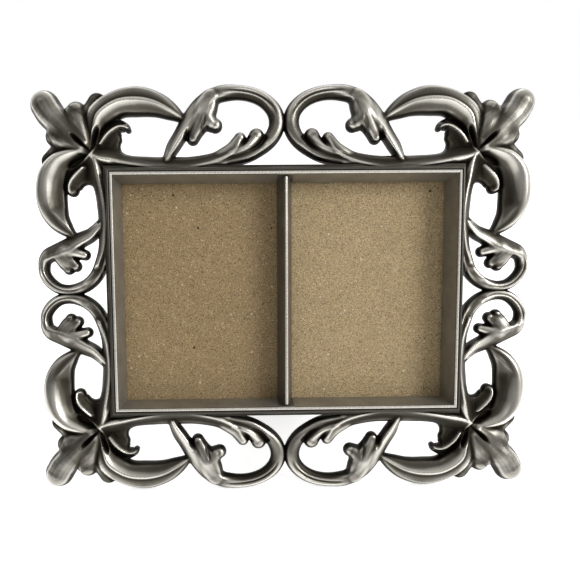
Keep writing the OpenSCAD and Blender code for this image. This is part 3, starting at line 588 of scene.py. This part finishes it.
def strand(points, run, sections, share=STRAND_SHARE):
    """How far each place lies inside a strand, and the strand's height there."""
    line = smooth_run(run, (BORDER_W * share, RELIEF_H))
    gap, side, at = nearest(points, line, line[:, 2].max() + MARGIN)
    half = along(line, 2, at)
    place = side * np.minimum(gap / half, SECTION_END)
    starts = [start for start, _ in sections]
    rises = [rise_at(section, place) for _, section in sections]
    mix = np.interp(at / (len(line) - 1), starts, np.arange(len(starts)))
    rise = sum(r * np.clip(1 - abs(mix - k), 0, 1) for k, r in enumerate(rises))
    inside = np.maximum(half - gap, FAR)
    top = SCROLL_BACK + (along(line, 3, at) - SCROLL_BACK) * rise
    return inside, np.maximum(top - WALL_SLOPE * np.maximum(-inside, 0), FAR)


def ridge(points, run, left, right, blunt):
    """A ridge whose flanks start with the given slopes and hollow out towards the floor."""
    line = smooth_run(run, (RELIEF_H,))
    gap, side, at = nearest(points, line, RIDGE_REACH)
    gap = np.minimum(gap, RIDGE_REACH)
    fall = np.hypot(gap, blunt) - blunt
    rise = along(line, 2, at) - HOLLOW_FLOOR
    slope = np.where(side > 0, left, right)
    fade = (1 - (gap / RIDGE_REACH) ** 2) ** 2
    return HOLLOW_FLOOR + rise * np.exp(-slope * fall / rise) * fade


def blend(tops, softness):
    """The highest of the tops, with their meetings filled out."""
    tops = np.array(tops)
    high = tops.max(0)
    return high + softness * np.log(np.exp((tops - high) / softness).sum(0))


def web(points):
    """How far each place lies inside the web's outline."""
    closed = smooth_run(WEB + WEB[:1], (), 3)
    gap = np.minimum(nearest(points, closed, WEB_REACH)[0], WEB_REACH)
    inside = np.zeros(len(points), bool)
    for (xa, ya), (xb, yb) in zip(closed, closed[1:]):
        crosses = (ya > points[:, 1]) != (yb > points[:, 1])
        level = xa + (points[:, 1] - ya) * (xb - xa) / (yb - ya if yb != ya else 1.0)
        inside ^= crosses & (points[:, 0] < level)
    return np.where(inside, gap, -gap)


def relief_of(points):
    """How far each place lies inside the metal's outline, its height and how deep it is cut."""
    fields = [strand(points, run, sections) for run, sections in STRANDS]
    fields += [strand(points, run, [(0, section)], 1.0) for run, section in LOBES]
    petals = [strand(points, run, [(0, VAULT)], 1.0) for run in PETALS]
    face = strand(points, FLOWER_FACE, [(0, FACE)], 1.0)[1]
    flower = blend([top for _, top in petals] + [face], PETAL_SOFT) - PETAL_LIFT
    outline = blend([inside for inside, _ in fields + petals] + [web(points)], FILLET)
    meetings = [blend([fields[k][1] for k in chosen], soft) - MEETING_LIFT_SHARE * soft
                for chosen, soft in MEETINGS]
    tops = [top for _, top in fields] + [flower] + meetings + [ridge(points, *r) for r in RIDGES]
    height = np.maximum(blend(tops, TOP_SOFT), WEB_TOP)
    cut = np.zeros(len(points))
    for run in CUTS:
        line = smooth_run(run, (BORDER_W, RELIEF_H))
        gap, _, at = nearest(points, line, CUT_REACH)
        half = np.maximum(along(line, 2, at), CUT_LEAST_HALF)
        depth = along(line, 3, at) * np.clip(1 - gap / half, 0, 1) ** CUT_POWER
        height -= depth
        cut = np.maximum(cut, depth)
    shoulder = np.maximum(outline, np.minimum(OUTER_W / 2 + SEAM_COVER - points[:, 0],
                                              OUTER_H / 2 + SEAM_COVER - points[:, 1]))
    t = np.clip(shoulder / EDGE_ROUND, 0, 1)
    height = np.maximum(height, WEB_TOP) - SCROLL_BACK
    height = SCROLL_BACK + height * (EDGE_SHARE + (1 - EDGE_SHARE) * np.sqrt(t * (2 - t)))
    # The moulding keeps its room: only what stands above the ledge laps over it
    past_edge = np.maximum(points[:, 0] - OUTER_W / 2, points[:, 1] - OUTER_H / 2)
    lap = np.minimum(past_edge + LEDGE_WIDTH, height - LEDGE_TOP_W - LEDGE_PLAY)
    outline = np.where(past_edge < -TOUCHING, np.minimum(outline, lap), outline)
    return outline, height, cut


def burnish_and_highlight(points):
    """How much brighter than their form the rubbed crests are made, burnish and painted highlight
    together.
    """
    amount = np.zeros(len(points))
    for run in BURNISHED_AND_HIGHLIT_CRESTS:
        line = smooth_run(run, (BORDER_W, 1.0))
        gap, _, at = nearest(points, line, RUBBED_AND_HIGHLIT_REACH)
        amount = np.maximum(amount, along(line, 3, at) * np.exp(-(gap / along(line, 2, at)) ** 2))
    return amount


def drawn_on(starts, step):
    """Places drawn on to the outline, each by no more than a step of the grid."""
    moved = starts.copy()
    for _ in range(RIM_ROUNDS):
        here = relief_of(moved)[0]
        slope = np.stack([(relief_of(moved + d)[0] - here) / NUDGE
                          for d in (np.array([NUDGE, 0]), np.array([0, NUDGE]))], -1)
        size = (slope ** 2).sum(1)
        shift = -(here / np.maximum(size, RIM_LEAST_SLOPE))[:, None] * slope
        moved += np.clip(shift, -RIM_STEP, RIM_STEP)
    far = np.abs(moved - starts) > step
    moved = np.where(far, starts + np.sign(moved - starts) * step, moved)
    return np.maximum(moved, 0)


def walls_of(cells, kept, lapped, number, lips, tables):
    """The walls down from the front's rim, the step at the ledge and the edges at their feet."""
    nu, nv = kept.shape
    base = np.where(lapped, 1, 0)
    padded_kept = np.pad(kept, 1)
    padded_base = np.pad(base, 1)
    faces = []
    feet = []
    for di, dj, a, b in ((-1, 0, 3, 0), (1, 0, 1, 2), (0, -1, 0, 1), (0, 1, 2, 3)):
        beside = padded_kept[1 + di:nu + 1 + di, 1 + dj:nv + 1 + dj]
        level = padded_base[1 + di:nu + 1 + di, 1 + dj:nv + 1 + dj]
        for k in (0, 1):
            open_side = cells[kept & (base == k) & ~beside]
            p, q = open_side[:, a], open_side[:, b]
            faces.append(np.column_stack([number[q], number[p], lips[p], lips[q]]))
            faces.append(np.column_stack([lips[q], lips[p], tables[k][p], tables[k][q]]))
            feet.append(np.column_stack([tables[k][p], tables[k][q]]))
        stepped = cells[kept & beside & (base == 1) & (level == 0)]
        p, q = stepped[:, a], stepped[:, b]
        faces.append(np.column_stack([tables[1][q], tables[1][p], tables[0][p], tables[0][q]]))
        feet.append(np.column_stack([tables[1][p], tables[1][q]]))
        feet.append(np.column_stack([tables[0][p], tables[0][q]]))
    return faces, feet


def quarter_relief():
    """The upper right casting in face millimetres: vertices, faces, how far inside the outline
    and how deep in a cut each of the front's vertices lies (they come first), and the sharp
    edges at the walls' feet."""
    step = np.array([OUTER_W / 2 / COLUMNS, OUTER_H / 2 / ROWS])
    count = (np.array([OUTER_W / 2, OUTER_H / 2]) + BORDER_W + MARGIN) / step
    nu, nv = count.astype(int)
    grid = np.stack(np.meshgrid(np.arange(nu + 1), np.arange(nv + 1), indexing="ij"), -1)
    points = grid.reshape(-1, 2) * step
    middles = (grid[:-1, :-1].reshape(-1, 2) + 0.5) * step
    outline = relief_of(middles)[0]
    kept = (outline > 0).reshape(nu, nv)
    lapped = ((middles[:, 0] < OUTER_W / 2) & (middles[:, 1] < OUTER_H / 2)).reshape(nu, nv)
    index = np.arange((nu + 1) * (nv + 1)).reshape(nu + 1, nv + 1)
    cells = np.stack([index[:-1, :-1], index[1:, :-1], index[1:, 1:], index[:-1, 1:]], -1)

    # Boundary vertices are drawn on to the outline, but for those on the quarter's own edges
    share = np.zeros((nu + 1, nv + 1), int)
    for di in (0, 1):
        for dj in (0, 1):
            share[di:nu + di, dj:nv + dj] += kept
    used = share > 0
    rim = used & (share < 4)
    rim[0, :] = False
    rim[:, 0] = False
    loose = np.flatnonzero(rim.ravel())
    points[loose] = drawn_on(points[loose], step)
    inside, height, cut = relief_of(points)

    number = np.full(len(points), -1)
    tops = np.flatnonzero(used.ravel())
    number[tops] = np.arange(len(tops))
    lips = len(tops) + number
    high = height[tops]
    shoulder = np.maximum(high - EDGE_DROP, np.minimum(high, SCROLL_BACK + EDGE_DROP))
    vertices = [np.column_stack([points[tops], high]), np.column_stack([points[tops], shoulder])]
    faces = [number[cells[kept]]]
    total = 2 * len(tops)
    tables = []
    for low, chosen in ((SCROLL_BACK, kept & ~lapped), (LEDGE_TOP_W, kept & lapped)):
        corner = np.unique(cells[chosen])
        table = np.full(len(points), -1)
        table[corner] = total + np.arange(len(corner))
        vertices.append(np.column_stack([points[corner], np.full(len(corner), low)]))
        faces.append(table[cells[chosen]][:, ::-1])
        total += len(corner)
        tables.append(table)
    walls, feet = walls_of(cells, kept, lapped, number, lips, tables)
    vertices, faces = np.vstack(vertices), np.vstack(faces + walls)
    taken = np.unique(faces)
    order = np.full(len(vertices), -1)
    order[taken] = np.arange(len(taken))
    front = inside[tops], cut[tops]
    return vertices[taken], order[faces], front, np.sort(order[np.vstack(feet)], 1)


def averaged(values, edges, rounds):
    """Values at the vertices, drawn half way to the mean of their neighbours, rounds times."""
    n = len(values)
    a, b = edges[:, 0], edges[:, 1]
    count = np.maximum(np.bincount(a, minlength=n) + np.bincount(b, minlength=n), 1)
    for _ in range(rounds):
        total = np.bincount(a, values[b], n) + np.bincount(b, values[a], n)
        values = values + 0.5 * (total / count - values)
    return values


def levels(front, edges, inside, cut):
    """The metal's level at the front's vertices, by the form about them."""
    fineness = (COLUMNS / FULL_COLUMNS) ** 2

    def smoothed(values, rounds):
        return averaged(values, edges, round(rounds * fineness))

    heights = smoothed(front[:, 2] + cut, SMOOTH_ROUNDS)
    fine = smoothed(heights, FINE_ROUNDS) - heights
    broad = smoothed(heights, BROAD_ROUNDS) - heights
    share = (heights - SCROLL_BACK) / (RELIEF_H - SCROLL_BACK)
    near_edge = 1 - np.clip(inside / EDGE_SHADE_WIDTH, 0, 1)
    fine = np.clip(-FINE_GAIN * fine, FINE_DARKEST, FINE_BRIGHTEST) * (1 - near_edge)
    broad = np.where(broad > 0, BROAD_HOLLOW, BROAD_CREST) * broad
    # Painted shade darkens hollows (with patina), edges and cuts; painted highlights brighten fine
    # crests, heights and the rubbed crests (with burnish)
    level = (PLAIN_LEVEL + fine - broad + HEIGHT_GAIN * (share - HEIGHT_PLAIN)
             - EDGE_SHADE * near_edge - CUT_SHADE * cut + burnish_and_highlight(front[:, :2]))
    return np.clip(smoothed(level, SMOOTH_ROUNDS), 0, 1)


def casting(name, quarter, vertices, relief, sharp, side, end):
    """A copy of the quarter, mirrored to its side and end of the frame."""
    copy = quarter.copy()
    copy.name = name + "_casting"
    world = to_world(vertices * np.array([side, end, 1.0]))
    world[:, 2] = np.maximum(world[:, 2], 0.0)
    copy.vertices.foreach_set("co", world.ravel())
    if side * end < 0:
        copy.flip_normals()
    values = copy.attributes.new("relief", "FLOAT", "POINT")
    values.data.foreach_set("value", relief.astype(np.float32))
    copy.polygons.foreach_set("use_smooth", np.ones(len(copy.polygons), bool))
    creases = copy.attributes.new("sharp_edge", "BOOLEAN", "EDGE")
    creases.data.foreach_set("value", sharp)
    copy.materials.append(SCROLL_PEWTER)
    copy.update()
    piece = put(name + "_casting", copy)
    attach(piece, "frame")
    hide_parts(name)


def castings():
    vertices, faces, (inside, cut), feet = quarter_relief()
    front = len(inside)
    mesh = bpy.data.meshes.new("quarter")
    mesh.from_pydata(vertices.tolist(), [], faces.tolist())
    edges = np.zeros(len(mesh.edges) * 2, np.int64)
    mesh.edges.foreach_get("vertices", edges)
    edges = np.sort(edges.reshape(-1, 2), 1)
    codes = edges @ np.array([len(vertices), 1])
    sharp = np.isin(codes, feet @ np.array([len(vertices), 1]))
    top_edges = edges[(edges < front).all(1)]
    vertices[:front, 2] = averaged(vertices[:front, 2], top_edges, FORM_ROUNDS)
    # The castings' walls are darker, with patina and painted shade
    relief = np.full(len(vertices), WALL_LEVEL)
    relief[:front] = levels(vertices[:front], top_edges, inside, cut)
    for name, side, end in (("scroll_top_left", -1, 1), ("scroll_top_right", 1, 1),
                            ("scroll_bottom_left", -1, -1), ("scroll_bottom_right", 1, -1)):
        casting(name, mesh, vertices, relief, sharp, side, end)
    bpy.data.meshes.remove(mesh)


SCROLL_PEWTER = pewter("scroll_pewter", "relief")
castings()

BEVEL_WIDTH = 0.14 * MM
BEVEL_ANGLE = math.radians(35)
dress(pewter("moulding_pewter"), "moulding_frame")
edge = NODES["moulding_frame"].modifiers.new("soft_edges", "BEVEL")
edge.width = BEVEL_WIDTH
edge.segments = 2
edge.limit_method = "ANGLE"
edge.angle_limit = BEVEL_ANGLE
edge.harden_normals = True


# Chipboard, glass and back
def chipboard(name, ground, light, dark, seed):
    m = Nodes(name)
    place = m.place()
    shifted = m.add("ShaderNodeVectorMath", operation="ADD")
    shifted.inputs[1].default_value = (seed, seed * 2.3, seed * 0.7)
    m.join(place, shifted.inputs[0])
    vector = shifted.outputs[0]
    mottle = m.noise(vector, 150, 3, 0.5)
    grain = m.noise(vector, 2300, 3, 0.75)
    fibres = m.noise(m.place((900, 900, 2300)), 1.0, 4, 0.6, 0.6)
    colour = m.ramp(grain, [(0.38, tuple(c * 0.52 for c in ground)), (0.5, ground),
                            (0.62, tuple(min(1, c * 1.5) for c in ground))])
    shade = tuple(c * 0.7 for c in ground)
    colour = m.mix(m.ramp(mottle, [(0.35, 0.22), (0.65, 0.0)]), colour, shade)
    colour = m.mix(m.ramp(fibres, [(0.60, 0.0), (0.74, 0.45)]), colour, light)
    for size, rarity, radius, fleck in ((1900, 0.88, 0.42, dark), (1500, 0.955, 0.40, light),
                                        (640, 0.982, 0.30, light), (430, 0.992, 0.28, dark)):
        colour = m.mix(m.flecks(vector, size, rarity, radius), colour, fleck)
    m.set(Base_Color=colour, Roughness=0.9, Specular_IOR_Level=0.25)
    m.bump(m.maths("ADD", grain, fibres), 0.35, 0.0001)
    return m.material


# The right board's ground is lighter and yellower than the left's
dress(chipboard("chipboard_left", (0.42, 0.305, 0.165), (0.74, 0.64, 0.46), (0.09, 0.055, 0.03),
                1.0), "filler_board_left")
dress(chipboard("chipboard_right", (0.54, 0.41, 0.235), (0.82, 0.73, 0.56), (0.12, 0.07, 0.035),
                2.0), "filler_board_right")


def glass():
    m = Nodes("glass")
    smear = m.noise(m.place((30, 30, 90)), 1.0, 3, 0.5)
    m.set(Base_Color=(0.96, 0.99, 0.97), Roughness=m.ramp(smear, [(0.4, 0.03), (0.75, 0.12)]),
          Transmission_Weight=1.0, IOR=1.45, Alpha=0.12)
    return m.material


dress(glass(), "glass_left", "glass_right")


def hardboard():
    m = Nodes("hardboard")
    place = m.place()
    fibre = m.noise(m.place((500, 500, 1600)), 1.0, 5, 0.65, 0.5)
    colour = m.ramp(fibre, [(0.3, (0.075, 0.045, 0.025)), (0.7, (0.17, 0.11, 0.065))])
    m.set(Base_Color=colour, Roughness=m.ramp(m.noise(place, 300), [(0.3, 0.55), (0.7, 0.75)]))
    m.bump(fibre, 0.3, 0.0001)
    return m.material


dress(hardboard(), "back_panel", "easel_leg")


def velvet():
    m = Nodes("velvet")
    place = m.place()
    pile = m.noise(place, 3500, 2, 0.6)
    brushed = m.noise(place, 45, 3, 0.5, 0.8)
    colour = m.mix(brushed, (0.004, 0.004, 0.0055), (0.016, 0.016, 0.02))
    colour = m.mix(m.ramp(pile, [(0.55, 0.0), (0.8, 0.5)]), colour, (0.035, 0.035, 0.042))
    m.set(Base_Color=colour, Roughness=0.95, Sheen_Weight=0.7, Sheen_Roughness=0.35,
          Sheen_Tint=(0.6, 0.6, 0.7), Specular_IOR_Level=0.1)
    m.bump(m.maths("MULTIPLY_ADD", brushed, 0.5, pile), 0.6, 0.00025)
    return m.material


VELVET = velvet()

# The velvet skins in millimetres, each on its own flat plan: half width by distance down it
VELVET_T = 0.4
VELVET_ROUND = 0.35
VELVET_EDGE_SHARE = 0.45
# The turned edge as a share of a half width of 20 mm, and the gaps between the rows of places
TURNED_SHARE = VELVET_ROUND / 20
ACROSS_GAP_SHARE = 0.05
DOWN_GAP = 1.5
RIPPLE = 0.02
BACK_HALF_W, BACK_HALF_H = 64.45, 44.55
LEG_OPEN = math.radians(36)
LEG_TOP, LEG_TOP_HALF, LEG_CORNER = 1.9, 12.0, 5.0
LEG_SPLAY = 0.0884
LEG_BACK_W = -2.1
PIN = np.array(JOINTS["leg_hinge"]["pos_m"], float)
LEG_AXES = np.stack([ACROSS, UP_FACE * math.cos(LEG_OPEN) + NORMAL * math.sin(LEG_OPEN),
                     NORMAL * math.cos(LEG_OPEN) - UP_FACE * math.sin(LEG_OPEN)])
LEG_BOTTOM = (PIN[2] / MM - LEG_BACK_W * LEG_AXES[2][2]) / LEG_AXES[1][2]


def stations(start, end, gap, turned=VELVET_ROUND):
    """Places from start to end, closer together by the turned edges at both ends."""
    count = max(int(abs(end - start) / gap), 4)
    inner = np.linspace(start, end, count + 1)[1:-1]
    edge = np.sign(end - start) * turned * np.array([0.0, 0.15, 0.45, 1.0, 2.0])
    return np.concatenate([start + edge, inner, (end - edge)[::-1]])


def skin(name, node, body, downs, half_of, w_glued, to_row):
    """A stretched sheet of velvet: its pile side, its turned edges and its glued side."""
    shares = stations(-1.0, 1.0, ACROSS_GAP_SHARE, TURNED_SHARE)
    rows = len(downs)
    columns = len(shares)
    half = np.array([half_of(d) for d in downs])
    u = half[:, None] * shares[None, :]
    v = -np.repeat(downs[:, None], columns, 1)
    inside = np.minimum(half[:, None] * (1 - abs(shares)),
                        np.minimum(downs - downs[0], downs[-1] - downs)[:, None])
    t = np.clip(inside / VELVET_ROUND, 0, 1)
    ripple = (RIPPLE * np.sin(u * 0.31 + 1.7 * np.sin(v * 0.23))
              * np.sin(v * 0.37 + 0.9 * np.sin(u * 0.19)))
    edge = VELVET_EDGE_SHARE + (1 - VELVET_EDGE_SHARE) * np.sqrt(t * (2 - t))
    thick = VELVET_T * edge - np.abs(ripple) * t
    pile = np.stack([u, v, w_glued - thick], -1).reshape(-1, 3)
    glued = np.stack([u, v, np.full_like(u, w_glued)], -1).reshape(-1, 3)
    index = np.arange(rows * columns).reshape(rows, columns)
    quads = np.stack([index[:-1, :-1], index[:-1, 1:], index[1:, 1:], index[1:, :-1]], -1)
    quads = quads.reshape(-1, 4)
    ring = np.concatenate([index[0, :], index[1:, -1], index[-1, -2::-1], index[-2:0:-1, 0]])
    after = np.roll(ring, -1)
    n = rows * columns
    rim = np.column_stack([after, ring, ring + n, after + n])
    faces = np.vstack([quads, quads[:, ::-1] + n, rim])
    world = to_row(np.vstack([pile, glued]))
    world[:, 2] = np.maximum(world[:, 2], 0.0)
    mesh = bpy.data.meshes.new(name)
    mesh.from_pydata(world.tolist(), [], faces.tolist())
    mesh.polygons.foreach_set("use_smooth", np.ones(len(mesh.polygons), bool))
    mesh.set_sharp_from_angle(angle=math.radians(70))
    mesh.materials.append(VELVET)
    mesh.update()
    piece = put(name, mesh)
    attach(piece, body)
    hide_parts(node)


def leg_half(down):
    """Half the leg's width at a distance below the pin, round its upper corners."""
    short = LEG_TOP + LEG_CORNER - down
    if short > 0:
        return LEG_TOP_HALF - LEG_CORNER + math.sqrt(max(LEG_CORNER ** 2 - short ** 2, 0.01))
    return LEG_TOP_HALF - LEG_SPLAY * short


def leg_to_row(points):
    return points @ LEG_AXES * MM + PIN


BACK_DOWNS = stations(-BACK_HALF_H, BACK_HALF_H, DOWN_GAP)
skin("back_velvet_skin", "back_velvet", "frame", BACK_DOWNS, lambda down: BACK_HALF_W, VELVET_T,
     to_world)
CORNER_TURNS = np.linspace(0.05, 1.5, 9)
LEG_DOWNS = np.concatenate([LEG_TOP + LEG_CORNER * (1 - np.cos(CORNER_TURNS)),
                            stations(LEG_TOP + LEG_CORNER, LEG_BOTTOM, DOWN_GAP)[1:]])
skin("leg_velvet_skin", "leg_velvet", "leg", LEG_DOWNS, leg_half, LEG_BACK_W, leg_to_row)


def plated(name, colour, worn, rough):
    m = Nodes(name)
    place = m.place()
    cloud = m.noise(place, 900, 4, 0.6)
    lines = m.noise(m.place((300, 6000, 6000)), 1.0, 2, 0.5)
    m.set(Base_Color=m.mix(m.ramp(cloud, [(0.4, 0.0), (0.75, 1.0)]), colour, worn), Metallic=1.0,
          Roughness=m.maths("MULTIPLY_ADD", lines, 0.2, rough))
    m.bump(lines, 0.15, 0.00005)
    return m.material


dress(plated("zinc_plate", (0.62, 0.62, 0.64), (0.42, 0.42, 0.42), 0.25),
      *[node for node in NODES if node.startswith(("hinge", "turn_button"))])
dress(plated("brass", (0.72, 0.53, 0.25), (0.42, 0.29, 0.13), 0.25),
      "panel_rivets", "leg_rivets", "button_screws")


# Floor, world and lamps
FLOOR_HALF = 3.0
FLOOR_GLOW = 0.72


def make_floor():
    mesh = bpy.data.meshes.new("floor")
    corners = ((-1, -1), (1, -1), (1, 1), (-1, 1))
    mesh.from_pydata([(x * FLOOR_HALF, y * FLOOR_HALF, 0) for x, y in corners], [], [(0, 1, 2, 3)])
    floor = put("floor", mesh)
    m = Nodes("floor")
    m.set(Base_Color=(0.86, 0.86, 0.86), Roughness=0.9, Specular_IOR_Level=0.1,
          Emission_Color=(1.0, 1.0, 1.0))
    m.set(Emission_Strength=m.maths("MULTIPLY", m.sees_backdrop(), FLOOR_GLOW))
    mesh.materials.append(m.material)


# The room's light by direction: a plain level, more from above and from the right, and less
# from the side that the frame faces
ROOM_LEVEL = 0.44
ROOM_SLOPES = (0.30, 0.22, 0.16)
# Where the white backdrop starts for mirrors and glass, towards the frame's back
BACKDROP_FROM = (0.0, 0.35)


def make_world():
    world = bpy.data.worlds.new("studio")
    bpy.context.scene.world = world
    world.use_nodes = True
    t = Tree(world.node_tree)
    t.tree.nodes.clear()
    direction = t.add("ShaderNodeTexCoord").outputs["Generated"]
    room = t.add("ShaderNodeBackground")
    room.inputs["Color"].default_value = (1.0, 0.985, 0.95, 1)
    level = t.maths("ADD", t.dot(direction, ROOM_SLOPES), ROOM_LEVEL)
    t.join(level, room.inputs["Strength"])
    white = t.add("ShaderNodeBackground")
    white.inputs["Color"].default_value = (1, 1, 1, 1)
    behind = t.add("ShaderNodeMapRange")
    behind.inputs["From Min"].default_value, behind.inputs["From Max"].default_value = BACKDROP_FROM
    t.join(t.dot(direction, (0, 1, 0)), behind.inputs["Value"])
    in_mirrors = t.maths("MULTIPLY", t.sees_backdrop(), behind.outputs["Result"])
    camera_ray = t.add("ShaderNodeLightPath").outputs["Is Camera Ray"]
    mix = t.add("ShaderNodeMixShader")
    t.join(t.maths("MAXIMUM", camera_ray, in_mirrors), mix.inputs[0])
    t.join(room.outputs[0], mix.inputs[1])
    t.join(white.outputs[0], mix.inputs[2])
    t.join(mix.outputs[0], t.add("ShaderNodeOutputWorld").inputs["Surface"])


def soft_lamp(name, place, target, size, radiance):
    """A rectangular lamp whose face is as bright as radiance."""
    data = bpy.data.lights.new(name, "AREA")
    data.shape = "RECTANGLE"
    data.size, data.size_y = size
    data.energy = radiance * math.pi * size[0] * size[1]
    lamp = put(name, data)
    lamp.location = place
    lamp.rotation_euler = (Vector(target) - Vector(place)).to_track_quat("-Z", "Y").to_euler()


make_floor()
make_world()
TARGET = (0, 0, 0.07)
soft_lamp("key", (0.70, -0.58, 0.55), TARGET, (0.42, 0.42), 8.0)
soft_lamp("fill", (-0.45, -0.60, 0.75), TARGET, (0.40, 0.36), 0.7)
soft_lamp("back", (0.1, 0.8, 0.7), TARGET, (0.8, 0.5), 2.0)
